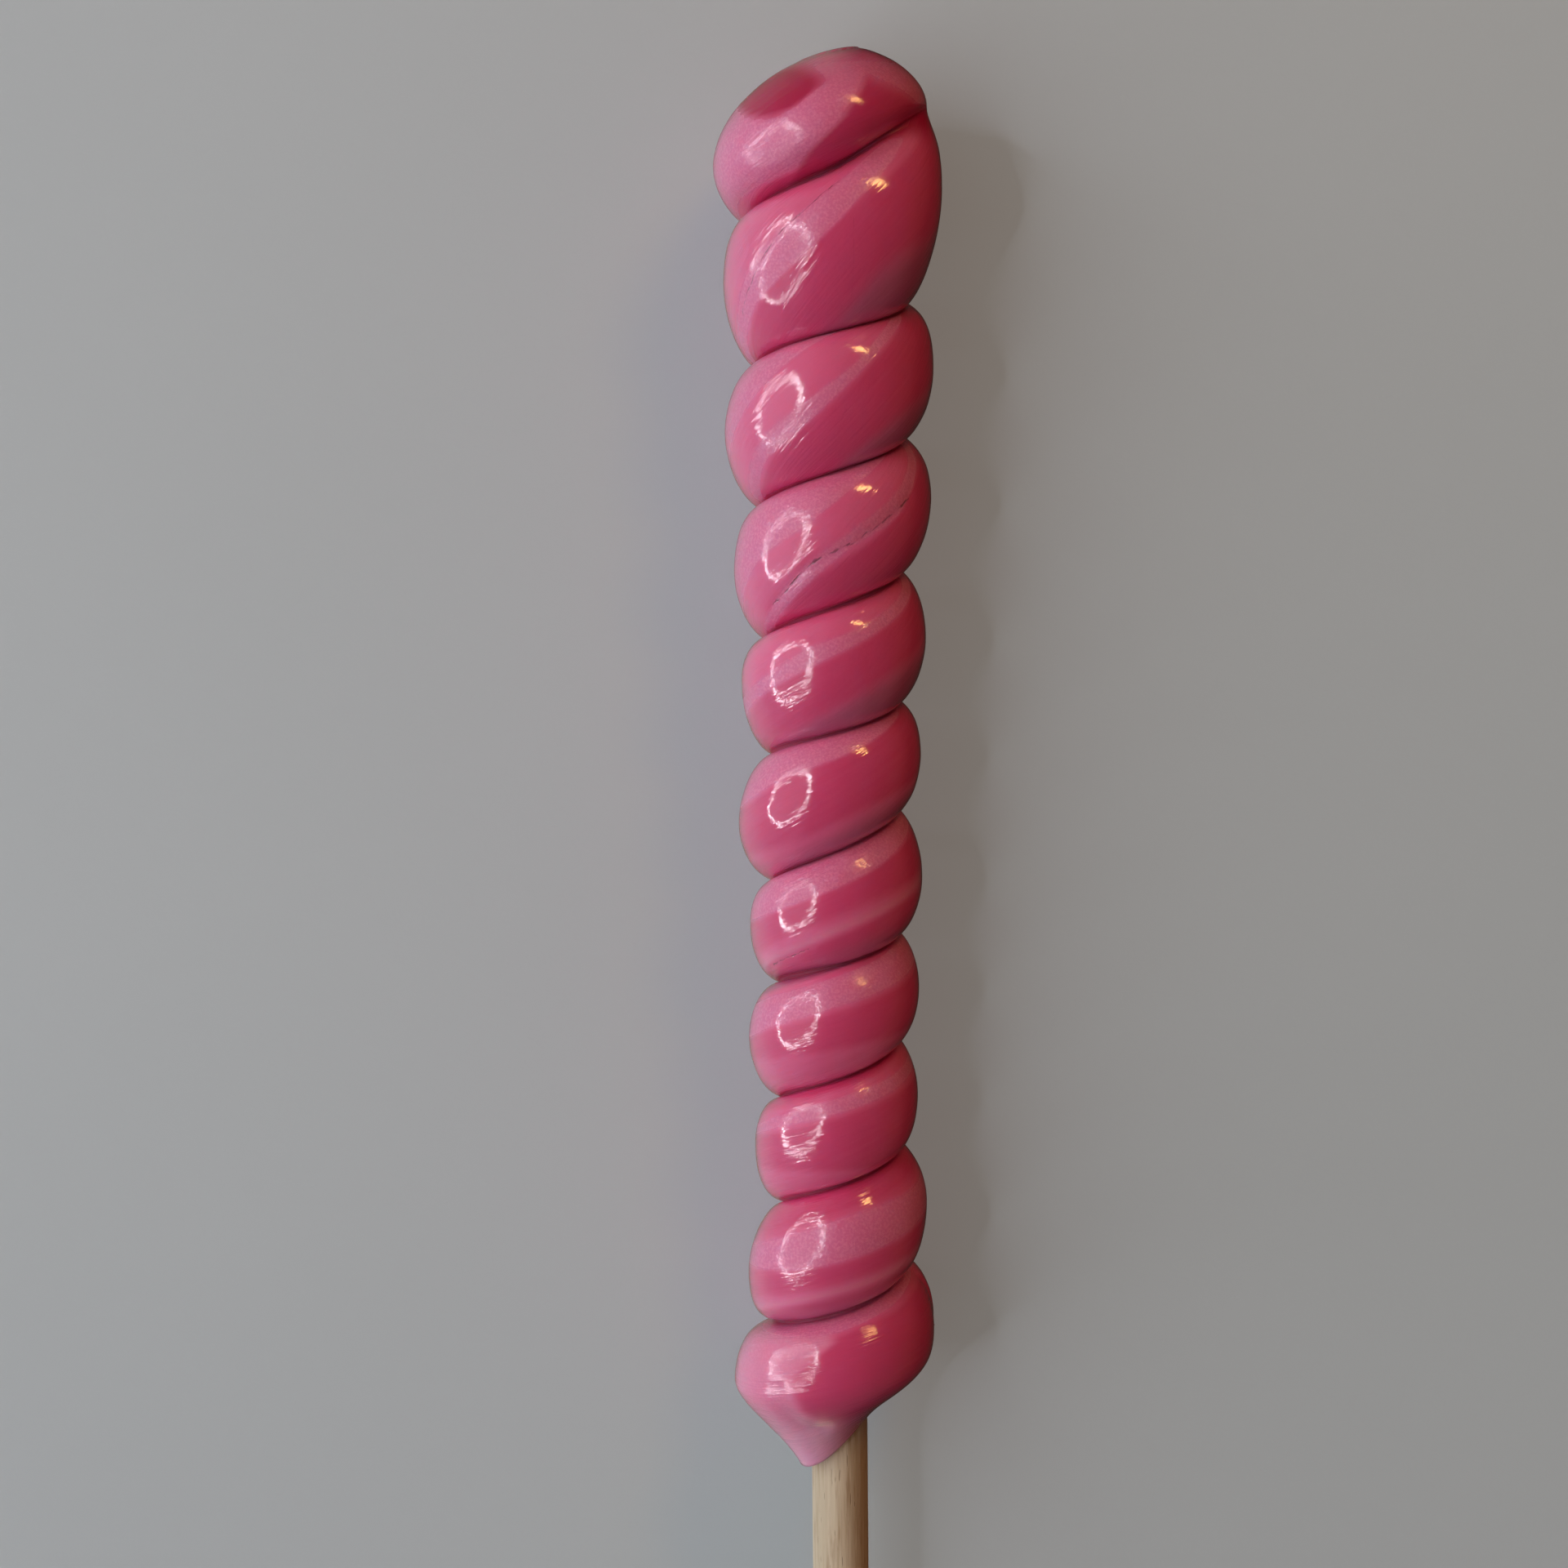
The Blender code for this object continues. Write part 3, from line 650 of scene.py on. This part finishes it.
def accent_and_shade_paint(turn, across):
    """The spot with painted shade of its kind, the painted shade of the creases, the gap to the nearest
    crack and the lilac tongue with its painted sheen, at each place.
    """
    spot_and_shade = np.maximum(stripe_amount("spot_and_shade", turn, across), HEAD_DEEP_SPOT * deep_on_head(turn, across))
    below = groove_openness(turn) * (1 - smooth_step(np.abs(across) / CREASE_HALF_WIDTH))
    above = groove_openness(turn + 1) * (1 - smooth_step(np.abs(across - 1) / CREASE_HALF_WIDTH))
    crease_and_shade = np.maximum(below, above)
    begins, full = LILAC_AND_SHEEN_FADES
    lilac_and_sheen = smooth_step((begins - across) / (begins - full)) * left_of_edge(LILAC_AND_SHEEN_EDGE, turn, across)
    return np.stack((spot_and_shade, crease_and_shade, crack_gap(turn, across), lilac_and_sheen), axis=-1)


def twist_so_far(turn):
    """How far the rope has turned about itself at this turn, in shares of its girth."""
    turns, rates = np.array(ROPE_TWIST).T
    steps = np.concatenate(([0.0], np.cumsum((rates[1:] + rates[:-1]) / 2 * np.diff(turns))))
    return np.interp(turn, turns, steps)


def path_distance(turn, across, path):
    """The distance on the skin, in metres, from each place to a path of (turn, across) points."""
    scale = np.array([ONE_TURN_LENGTH, ONE_ACROSS_LENGTH])
    here = np.stack(np.broadcast_arrays(turn, across), axis=-1) * scale
    nearest = np.full(here.shape[:-1], np.inf)
    for start, end in zip(path[:-1], path[1:]):
        start = np.array(start) * scale
        along = np.array(end) * scale - start
        share = np.clip((here - start) @ along / (along @ along), 0.0, 1.0)
        gap = np.linalg.norm(here - start - share[..., None] * along, axis=-1)
        nearest = np.minimum(nearest, gap)
    return nearest


def furrow_depth(turn, across):
    depth = np.zeros(np.broadcast(turn, across).shape)
    for deepest, half_width, path in FURROWS:
        gap = path_distance(turn, across, path) / (half_width * MM)
        depth += deepest * MM * np.exp(-gap * gap)
    return depth


def skins_mesh():
    """The candy's skins as one welded mesh, with its stripes, flow and furrows kept at each corner."""
    points, faces, flow, stripes, accents_and_shade, furrows = [], [], [], [], [], []
    first = 0
    for skin, turn, across in (rope_skin(), head_skin(), belly_skin()):
        columns, rows, _ = skin.shape
        index = first + np.arange(columns * rows).reshape(columns, rows)
        corners = (index[:-1, :-1], index[1:, :-1], index[1:, 1:], index[:-1, 1:])
        faces.append(np.stack(corners, axis=-1).reshape(-1, 4))
        points.append(skin.reshape(-1, 3))
        along = turn * ONE_TURN_LENGTH
        round_rope = (across / 2 - twist_so_far(turn)) * 2 * ONE_ACROSS_LENGTH
        flow.append(np.stack(np.broadcast_arrays(along, round_rope), axis=-1).reshape(-1, 2))
        stripes.append(stripe_paint(turn, across).reshape(-1, 4))
        accents_and_shade.append(accent_and_shade_paint(turn, across).reshape(-1, 4))
        furrows.append(furrow_depth(turn, across).ravel())
        first += columns * rows
    points, faces, flow, furrows = map(np.concatenate, (points, faces, flow, furrows))

    mesh = bpy.data.meshes.new("candy_skin")
    mesh.from_pydata(points, [], faces)
    corners = faces.ravel()
    mesh.uv_layers.new(name="flow").uv.foreach_set("vector", flow[corners].astype(np.float32).ravel())
    for name, amounts in (("stripes", stripes), ("accents_and_shade", accents_and_shade)):
        paint = mesh.attributes.new(name, "FLOAT_COLOR", "CORNER")
        paint.data.foreach_set("color", np.concatenate(amounts)[corners].astype(np.float32).ravel())
    relief = mesh.attributes.new("furrows", "FLOAT", "CORNER")
    relief.data.foreach_set("value", furrows[corners].astype(np.float32))
    weld(mesh)
    return mesh


def weld(mesh):
    bm = bmesh.new()
    bm.from_mesh(mesh)
    bmesh.ops.remove_doubles(bm, verts=bm.verts, dist=WELD_DISTANCE)
    bmesh.ops.dissolve_degenerate(bm, dist=WELD_DISTANCE, edges=bm.edges)
    bmesh.ops.recalc_face_normals(bm, faces=bm.faces)
    bm.to_mesh(mesh)
    bm.free()


def corner_mean(mesh, values):
    """The mean at each vertex of a value kept at its corners."""
    vertex = np.empty(len(mesh.loops), np.int32)
    mesh.loops.foreach_get("vertex_index", vertex)
    count = np.bincount(vertex, minlength=len(mesh.vertices))
    total = np.bincount(vertex, values, minlength=len(mesh.vertices))
    return total / np.maximum(count, 1)


def add_relief(mesh):
    """Moves the skin in and out: uneven waves all over, and the furrows."""
    count = len(mesh.vertices)
    points = np.empty(count * 3)
    mesh.vertices.foreach_get("co", points)
    points = points.reshape(-1, 3)
    normals = np.empty(count * 3)
    mesh.vertices.foreach_get("normal", normals)
    normals = normals.reshape(-1, 3)
    furrows = np.empty(len(mesh.loops))
    mesh.attributes["furrows"].data.foreach_get("value", furrows)

    height = -corner_mean(mesh, furrows)
    for number, (length, depth) in enumerate(WAVES):
        shift = Vector((0.0, 0.0, SEED + WAVE_SHIFT * number))
        wave = [noise.noise(Vector(point) / (length * MM) + shift) for point in points]
        height += depth * MM * (np.array(wave) - WAVE_INWARD)
    in_bore = np.hypot(points[:, 0], points[:, 2]) < STICK_DIAMETER / 2 + LIP_THICKNESS / 2
    height[in_bore] = 0.0
    points += normals * height[:, None]
    mesh.vertices.foreach_set("co", points.ravel())


def make_candy(placement):
    """The dressed candy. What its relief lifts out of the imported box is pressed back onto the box."""
    mesh = skins_mesh()
    add_relief(mesh)
    mesh.transform(placement)
    least, most = CAD_BOX
    for vertex in mesh.vertices:
        vertex.co = [min(max(place, low), high) for place, low, high in zip(vertex.co, least, most)]
    mesh.shade_smooth()
    candy = bpy.data.objects.new("pulled_candy", mesh)
    bpy.context.scene.collection.objects.link(candy)
    candy.data.materials.append(candy_material())
    return candy


class Nodes:
    """A short way to build a node material: add a node, set its sockets and link it in one call.

    A socket is given by its name, with _ for each space, or as i and its number.
    """

    def __init__(self, name):
        self.material = bpy.data.materials.new(name)
        self.material.use_nodes = True
        self.tree = self.material.node_tree
        self.shader = self.tree.nodes["Principled BSDF"]

    def add(self, kind, settings=None, **inputs):
        node = self.tree.nodes.new(kind)
        for name, value in (settings or {}).items():
            setattr(node, name, value)
        for name, value in inputs.items():
            number = name[1:]
            key = int(number) if number.isdigit() else name.replace("_", " ")
            self.put(node.inputs[key], value)
        return node

    def put(self, socket, value):
        if isinstance(value, bpy.types.NodeSocket):
            self.tree.links.new(value, socket)
        else:
            socket.default_value = value

    def shade(self, **inputs):
        for name, value in inputs.items():
            self.put(self.shader.inputs[name.replace("_", " ")], value)

    def math(self, operation, a, b=0.0, c=0.0, clamp=False):
        node = self.add("ShaderNodeMath", {"operation": operation, "use_clamp": clamp}, i0=a, i1=b, i2=c)
        return node.outputs[0]

    def mix_colour(self, amount, a, b):
        node = self.add("ShaderNodeMix", {"data_type": "RGBA"}, Factor=amount, i6=a, i7=b)
        return node.outputs[2]

    def mix_value(self, amount, a, b):
        node = self.add("ShaderNodeMix", {"data_type": "FLOAT"}, Factor=amount, i2=a, i3=b)
        return node.outputs[0]

    def scaled(self, vector, scale):
        node = self.add("ShaderNodeVectorMath", {"operation": "MULTIPLY"}, i0=vector, i1=scale)
        return node.outputs[0]

    def noise(self, vector, scale, detail=2.0, roughness=0.5):
        settings = {"Scale": scale, "Detail": detail, "Roughness": roughness}
        return self.add("ShaderNodeTexNoise", None, Vector=vector, **settings).outputs[0]

    def stretched_noise(self, vector, cells, detail, roughness=0.5):
        """Noise with its own number of cells to the metre in each direction."""
        return self.noise(self.scaled(vector, cells), 1.0, detail, roughness)

    def ramp(self, value, low, high):
        node = self.add("ShaderNodeMapRange", {"interpolation_type": "SMOOTHSTEP"}, Value=value)
        node.inputs["From Min"].default_value = low
        node.inputs["From Max"].default_value = high
        return node.outputs[0]

    def bump(self, height, distance, strength=1.0, normal=None):
        node = self.add("ShaderNodeBump", None, Height=height, Distance=distance, Strength=strength)
        if normal is not None:
            self.put(node.inputs["Normal"], normal)
        return node.outputs[0]


# The candy's colours, some of them painted shade, painted sheen or painted sparkle
ROSE = (0.78, 0.125, 0.290, 1.0)
DEEP = (0.68, 0.058, 0.190, 1.0)
# Mauve is partly the sugar's own greyer tone, partly a painted grey sheen
MAUVE_AND_SHEEN = (0.50, 0.095, 0.210, 1.0)
PALE = (0.82, 0.240, 0.400, 1.0)
PEARL = (0.72, 0.150, 0.320, 1.0)
# Lighter specks in the pearly sugar: partly its own fine grain, partly painted sparkle on the grain that
# bumps its gloss
PEARL_SPECK_AND_SPARKLE = (0.80, 0.220, 0.400, 1.0)
# The tongue's lilac: partly its own pale pink, partly painted sheen and painted light
LILAC_AND_SHEEN = (0.92, 0.400, 0.600, 1.0)
# The spot's crimson, also laid as painted shade in the dark pocket under the head
SPOT_AND_SHADE = (0.46, 0.004, 0.070, 1.0)
# Painted shade laid into the creases between the turns, and how much of it is laid on
CREASE_SHADE = (0.36, 0.014, 0.045, 1.0)
CREASE_SHADE_SHARE = 0.8

# The candy's textures, as noise cells to the metre: along the rope and round it, or in all directions
STREAK_CELLS = (90.0, 1400.0, 0.0)
SCRATCH_CELLS = (260.0, 3200.0, 0.0)
JAG_CELLS = (900.0, 1500.0, 0.0)
FINE_STREAK_CELLS = (600.0, 5200.0, 0.0)
RIPPLE_CELLS = (700.0, 1500.0, 0.0)
CLOUD_CELLS = 160.0
GRAIN_CELLS = 3600.0

# How high each texture stands in the candy's surface
STREAK_HEIGHT = 0.05 * MM
SCRATCH_HEIGHT = 0.034 * MM
CRACK_HEIGHT = 0.05 * MM
RIPPLE_HEIGHT = 0.045 * MM
GRAIN_HEIGHT = 0.05 * MM
SOFT_GRAIN_HEIGHT = 0.03 * MM

# The cracks: how far they wander, how wide they get, what that loses where they break off, and how
# sharp they are and how dark the shade painted into them is
CRACK_SHADE = (0.14, 0.012, 0.035, 1.0)
CRACK_SHADE_SHARE = 0.75
CRACK_JAG_MM = 0.60
CRACK_HALF_WIDTH_MM = 0.60
CRACK_BREAKS_MM = 0.22
CRACK_EDGE_PER_MM = 8.0

# The candy's gloss, and its clear coat, most of which is lost in the creases and on the spots
DEEP_ROUGHNESS = 0.12
SATIN_ROUGHNESS = 0.34
CREASE_ROUGHNESS = 0.70
STREAK_ROUGHNESS = 0.08
COAT_ROUGHNESS = 0.05
COAT_LOST_IN_CREASE = 0.95
COAT_LOST_ON_SPOT = 0.85
SUGAR_IOR = 1.5

# How far light wanders inside the sugar, by colour
SCATTER_SHARE = 0.6
SCATTER_DEPTH = 3.0 * MM
SCATTER_BY_COLOUR = (1.0, 0.20, 0.30)


def candy_material():
    """Pulled sugar: glossy where it is deep pink, satin and finely pitted where it is pearly."""
    n = Nodes("pulled_candy")
    paint = n.add("ShaderNodeAttribute", {"attribute_name": "stripes"})
    parts = n.add("ShaderNodeSeparateColor", None, Color=paint.outputs["Color"])
    pearl, deep, mauve_and_sheen = parts.outputs[:3]
    pale = paint.outputs["Alpha"]
    accents_and_shade = n.add("ShaderNodeAttribute", {"attribute_name": "accents_and_shade"})
    marks = n.add("ShaderNodeSeparateColor", None, Color=accents_and_shade.outputs["Color"])
    spot_and_shade, crease_and_shade, above_crack = marks.outputs[:3]
    lilac_and_sheen = accents_and_shade.outputs["Alpha"]
    flow = n.add("ShaderNodeUVMap", {"uv_map": "flow"}).outputs[0]
    place = n.add("ShaderNodeTexCoord").outputs["Object"]

    streak = n.stretched_noise(flow, STREAK_CELLS, 3.0, 0.6)
    scratch = n.stretched_noise(flow, SCRATCH_CELLS, 2.0, 0.6)
    jag = n.stretched_noise(flow, JAG_CELLS, 2.0, 0.6)
    fine_streak = n.stretched_noise(flow, FINE_STREAK_CELLS, 2.0, 0.6)
    ripple = n.stretched_noise(flow, RIPPLE_CELLS, 2.0, 0.6)
    cloud = n.noise(place, CLOUD_CELLS, 2.0)
    grain = n.noise(place, GRAIN_CELLS, 1.0)

    shift = n.math("MULTIPLY_ADD", streak, 0.5, -0.25)
    unevenness = n.math("MULTIPLY_ADD", cloud, 0.5, n.math("ADD", shift, -0.25))
    deepness = n.math("ADD", deep, unevenness, clamp=True)
    colour = n.mix_colour(deepness, ROSE, DEEP)
    # Mauve bands, partly a painted grey sheen
    colour = n.mix_colour(mauve_and_sheen, colour, MAUVE_AND_SHEEN)
    colour = n.mix_colour(pale, colour, PALE)
    satin = n.math("MULTIPLY", pearl, n.ramp(n.math("ADD", pearl, shift), 0.1, 0.7))
    # Lighter specks on the pearly sugar: partly its own grain, partly painted sparkle
    pearl_colour = n.mix_colour(n.ramp(grain, 0.35, 0.75), PEARL, PEARL_SPECK_AND_SPARKLE)
    colour = n.mix_colour(satin, colour, pearl_colour)
    # The tongue's lilac, partly painted sheen and painted light
    colour = n.mix_colour(lilac_and_sheen, colour, LILAC_AND_SHEEN)
    # The crimson spot, and painted shade in the pocket under the head
    colour = n.mix_colour(spot_and_shade, colour, SPOT_AND_SHADE)
    # Painted shade darkens the creases between the turns
    colour = n.mix_colour(n.math("MULTIPLY", crease_and_shade, CREASE_SHADE_SHARE), colour, CREASE_SHADE)

    middle = n.math("ADD", above_crack, -CRACK_JAG_MM / 2)
    off_crack = n.math("ABSOLUTE", n.math("MULTIPLY_ADD", jag, CRACK_JAG_MM, middle))
    half_width = n.math("MULTIPLY_ADD", ripple, CRACK_HALF_WIDTH_MM, -CRACK_BREAKS_MM)
    inside = n.math("SUBTRACT", half_width, off_crack)
    crack_and_shade = n.math("MULTIPLY", inside, CRACK_EDGE_PER_MM, clamp=True)
    # Painted shade darkens the thin cracks
    colour = n.mix_colour(n.math("MULTIPLY", crack_and_shade, CRACK_SHADE_SHARE), colour, CRACK_SHADE)

    streakiness = n.math("MULTIPLY_ADD", fine_streak, STREAK_ROUGHNESS, -STREAK_ROUGHNESS / 2)
    rough = n.mix_value(satin, DEEP_ROUGHNESS, SATIN_ROUGHNESS)
    rough = n.math("ADD", rough, streakiness, clamp=True)
    rough = n.mix_value(crease_and_shade, rough, CREASE_ROUGHNESS)
    gloss = n.math("MULTIPLY_ADD", spot_and_shade, -COAT_LOST_ON_SPOT, 1.0)
    gloss = n.math("MULTIPLY_ADD", crease_and_shade, -COAT_LOST_IN_CREASE, gloss, clamp=True)

    scratched = n.math("MULTIPLY_ADD", n.ramp(cloud, 0.38, 0.58), 0.6, 0.4)
    rippled = n.math("MULTIPLY_ADD", satin, 0.45, 0.55)
    grained = n.math("MULTIPLY_ADD", satin, 0.18, 0.10)
    soft_grained = n.math("MULTIPLY_ADD", satin, 0.80, 0.20)
    streaks = n.bump(streak, STREAK_HEIGHT, 0.8)
    scratches = n.bump(scratch, SCRATCH_HEIGHT, scratched, normal=streaks)
    cracks = n.bump(n.math("SUBTRACT", 1.0, crack_and_shade), CRACK_HEIGHT, 0.8, normal=scratches)
    ripples = n.bump(ripple, RIPPLE_HEIGHT, rippled, normal=cracks)
    grains = n.bump(grain, GRAIN_HEIGHT, grained, normal=ripples)
    soft_grains = n.bump(grain, SOFT_GRAIN_HEIGHT, soft_grained, normal=ripples)
    n.shade(
        Base_Color=colour,
        Roughness=rough,
        IOR=SUGAR_IOR,
        Subsurface_Weight=SCATTER_SHARE,
        Subsurface_Scale=SCATTER_DEPTH,
        Subsurface_Radius=SCATTER_BY_COLOUR,
        Coat_Weight=gloss,
        Coat_Roughness=COAT_ROUGHNESS,
        Coat_IOR=SUGAR_IOR,
        Coat_Normal=grains,
        Normal=soft_grains,
    )
    return n.material


# The birch's colours, and its textures as noise cells to the metre: across, along and up the stick
BIRCH = (0.46, 0.365, 0.23, 1.0)
PALE_BIRCH = (0.69, 0.59, 0.41, 1.0)
BIRCH_GRAIN = (0.40, 0.285, 0.15, 1.0)
BIRCH_STAIN = (0.33, 0.20, 0.10, 1.0)
BIRCH_PORE = (0.20, 0.115, 0.05, 1.0)
GROWTH_CELLS = (350.0, 18.0, 350.0)
STAIN_CELLS = (1100.0, 110.0, 1100.0)
WOOD_GRAIN_CELLS = (1400.0, 60.0, 1400.0)
PORE_CELLS = (4200.0, 420.0, 4200.0)
FIBRE_CELLS = (5200.0, 260.0, 5200.0)
FIBRE_HEIGHT = 0.05 * MM
PORE_DEPTH_SHARE = 0.8


def birch_material():
    """Pale birch: fine lengthwise grain, brown stains and short dark pores."""
    n = Nodes("birch")
    place = n.add("ShaderNodeTexCoord").outputs["Object"]
    growth = n.ramp(n.stretched_noise(place, GROWTH_CELLS, 2.0), 0.3, 0.7)
    grain = n.ramp(n.stretched_noise(place, WOOD_GRAIN_CELLS, 3.0, 0.6), 0.45, 0.75)
    stains = n.ramp(n.stretched_noise(place, STAIN_CELLS, 3.0, 0.65), 0.52, 0.70)
    pores = n.ramp(n.stretched_noise(place, PORE_CELLS, 1.0), 0.66, 0.74)
    fibre = n.stretched_noise(place, FIBRE_CELLS, 2.0, 0.6)
    colour = n.mix_colour(growth, BIRCH, PALE_BIRCH)
    colour = n.mix_colour(grain, colour, BIRCH_GRAIN)
    colour = n.mix_colour(n.math("MULTIPLY", stains, 0.5), colour, BIRCH_STAIN)
    colour = n.mix_colour(n.math("MULTIPLY", pores, 0.5), colour, BIRCH_PORE)
    rough = n.math("MULTIPLY_ADD", fibre, 0.25, 0.45)
    height = n.math("MULTIPLY_ADD", pores, -PORE_DEPTH_SHARE, fibre)
    n.shade(Base_Color=colour, Roughness=rough, Normal=n.bump(height, FIBRE_HEIGHT, 0.7))
    return n.material


# The floor glows a little, which keeps the candy's shadow weak
FLOOR_PAINT = (0.38, 0.430, 0.440, 1.0)
PALE_FLOOR_PAINT = (0.41, 0.460, 0.470, 1.0)
FLOOR_CLOUD_CELLS = 9.0
FLOOR_TOOTH_CELLS = 900.0
FLOOR_TOOTH_HEIGHT = 0.05 * MM
FLOOR_ROUGHNESS = 0.85
FLOOR_GLOW = 0.22


def floor_material():
    n = Nodes("floor")
    place = n.add("ShaderNodeTexCoord").outputs["Object"]
    cloud = n.noise(place, FLOOR_CLOUD_CELLS, 2.0)
    tooth = n.noise(place, FLOOR_TOOTH_CELLS, 2.0)
    colour = n.mix_colour(cloud, FLOOR_PAINT, PALE_FLOOR_PAINT)
    n.shade(
        Base_Color=colour,
        Roughness=FLOOR_ROUGHNESS,
        Emission_Color=colour,
        Emission_Strength=FLOOR_GLOW,
        Normal=n.bump(tooth, FLOOR_TOOTH_HEIGHT, 0.3),
    )
    return n.material


def make_floor():
    """A wide floor that neither lights the candy nor shows in its gloss."""
    bpy.ops.mesh.primitive_plane_add(size=FLOOR_SIZE)
    floor = bpy.context.object
    floor.name = "floor"
    floor.data.materials.append(floor_material())
    floor.visible_diffuse = False
    floor.visible_glossy = False
    return floor


def make_camera(placement):
    data = bpy.data.cameras.new("camera")
    data.sensor_width = SENSOR_WIDTH_MM
    data.lens = SENSOR_WIDTH_MM * FOCAL_PIXELS / PHOTO_PIXELS
    data.clip_start = CAMERA_SEES_FROM
    camera = bpy.data.objects.new("camera", data)
    bpy.context.scene.collection.objects.link(camera)
    looks = Matrix.Rotation(-CAMERA_PITCH, 4, "X") @ Matrix.Rotation(CAMERA_ROLL, 4, "Z")
    camera.matrix_world = placement @ Matrix.Translation(CAMERA_PLACE) @ looks
    bpy.context.scene.camera = camera


def light_matrix(placement, azimuth, elevation, distance):
    """A light that looks at the middle of the candy, turned right by azimuth and up by elevation."""
    towards = Vector((
        math.sin(azimuth) * math.cos(elevation),
        math.sin(elevation),
        math.cos(azimuth) * math.cos(elevation),
    ))
    turned = (-towards).to_track_quat("-Z", "Y").to_matrix().to_4x4()
    return placement @ Matrix.Translation(CANDY_MIDDLE + towards * distance) @ turned


def make_area_light(name, matrix, width, height, power, colour):
    data = bpy.data.lights.new(name, "AREA")
    data.shape = "ELLIPSE"
    data.size = width
    data.size_y = height
    data.energy = power
    data.color = colour
    light = bpy.data.objects.new(name, data)
    bpy.context.scene.collection.objects.link(light)
    light.matrix_world = matrix
    light.visible_camera = False
    return light


def make_ring_light(placement):
    """A ring-shaped studio light to the left of the camera: a disk that is bright at its rim."""
    matrix = light_matrix(placement, RING_AZIMUTH, RING_ELEVATION, RING_DISTANCE)
    light = make_area_light("ring_light", matrix, RING_DIAMETER, RING_DIAMETER, RING_POWER, RING_COLOUR)
    light.data.use_nodes = True
    tree = light.data.node_tree
    emission = tree.nodes["Emission"]
    geometry = tree.nodes.new("ShaderNodeNewGeometry")
    centred = tree.nodes.new("ShaderNodeVectorMath")
    centred.operation = "SUBTRACT"
    centred.inputs[1].default_value = FACE_MIDDLE
    radius = tree.nodes.new("ShaderNodeVectorMath")
    radius.operation = "LENGTH"
    outside = tree.nodes.new("ShaderNodeMath")
    outside.operation = "GREATER_THAN"
    outside.inputs[1].default_value = RING_HOLE_SHARE / 2
    glow = tree.nodes.new("ShaderNodeMath")
    glow.operation = "MAXIMUM"
    glow.inputs[1].default_value = RING_HOLE_GLOW
    tree.links.new(geometry.outputs["Parametric"], centred.inputs[0])
    tree.links.new(centred.outputs[0], radius.inputs[0])
    tree.links.new(radius.outputs["Value"], outside.inputs[0])
    tree.links.new(outside.outputs[0], glow.inputs[0])
    tree.links.new(glow.outputs[0], emission.inputs["Strength"])


def make_world():
    """Soft light from all round: cool from the left, dim and warm from the right.

    From below it is stronger on the left and weaker on the right.
    """
    world = bpy.data.worlds.new("studio")
    bpy.context.scene.world = world
    world.use_nodes = True
    tree = world.node_tree
    background = tree.nodes["Background"]
    direction = tree.nodes.new("ShaderNodeTexCoord")
    parts = tree.nodes.new("ShaderNodeSeparateXYZ")
    tree.links.new(direction.outputs["Generated"], parts.inputs[0])

    sideways = tree.nodes.new("ShaderNodeMapRange")
    sideways.inputs["From Min"].default_value = -1.0
    tree.links.new(parts.outputs["X"], sideways.inputs["Value"])
    ramp = tree.nodes.new("ShaderNodeValToRGB")
    ramp.color_ramp.elements[0].color = LIGHT_FROM_LEFT
    ramp.color_ramp.elements[1].color = LIGHT_FROM_RIGHT
    ramp.color_ramp.elements.new(LIGHT_FROM_LEFT_REACHES).color = LIGHT_FROM_ABOVE
    tree.links.new(sideways.outputs[0], ramp.inputs["Fac"])

    below = tree.nodes.new("ShaderNodeMapRange")
    still_left, then_right = LIGHT_FROM_BELOW_TURNS
    below.inputs["From Min"].default_value = still_left
    below.inputs["From Max"].default_value = then_right
    below.inputs["To Min"].default_value = LIGHT_FROM_BELOW_LEFT
    below.inputs["To Max"].default_value = LIGHT_FROM_BELOW_RIGHT
    tree.links.new(parts.outputs["X"], below.inputs["Value"])
    upward = tree.nodes.new("ShaderNodeMapRange")
    upward.inputs["From Min"].default_value = LIGHT_FROM_BELOW_STARTS
    upward.inputs["From Max"].default_value = 0.0
    tree.links.new(below.outputs[0], upward.inputs["To Min"])
    tree.links.new(parts.outputs["Z"], upward.inputs["Value"])
    tree.links.new(upward.outputs[0], background.inputs["Strength"])
    tree.links.new(ramp.outputs["Color"], background.inputs["Color"])


def main():
    placement = axis_placement()
    make_camera(placement)
    bpy.context.scene.view_settings.view_transform = "Standard"

    candy = make_candy(placement)
    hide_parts("candy")
    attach(candy, "root")
    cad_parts["stick"].material_slots[0].material = birch_material()

    floor = make_floor()
    make_world()
    make_ring_light(placement)
    matrix = light_matrix(placement, WARM_AZIMUTH, WARM_ELEVATION, WARM_DISTANCE)
    make_area_light("warm_lamp", matrix, WARM_WIDTH, WARM_HEIGHT, WARM_POWER, WARM_COLOUR)


main()
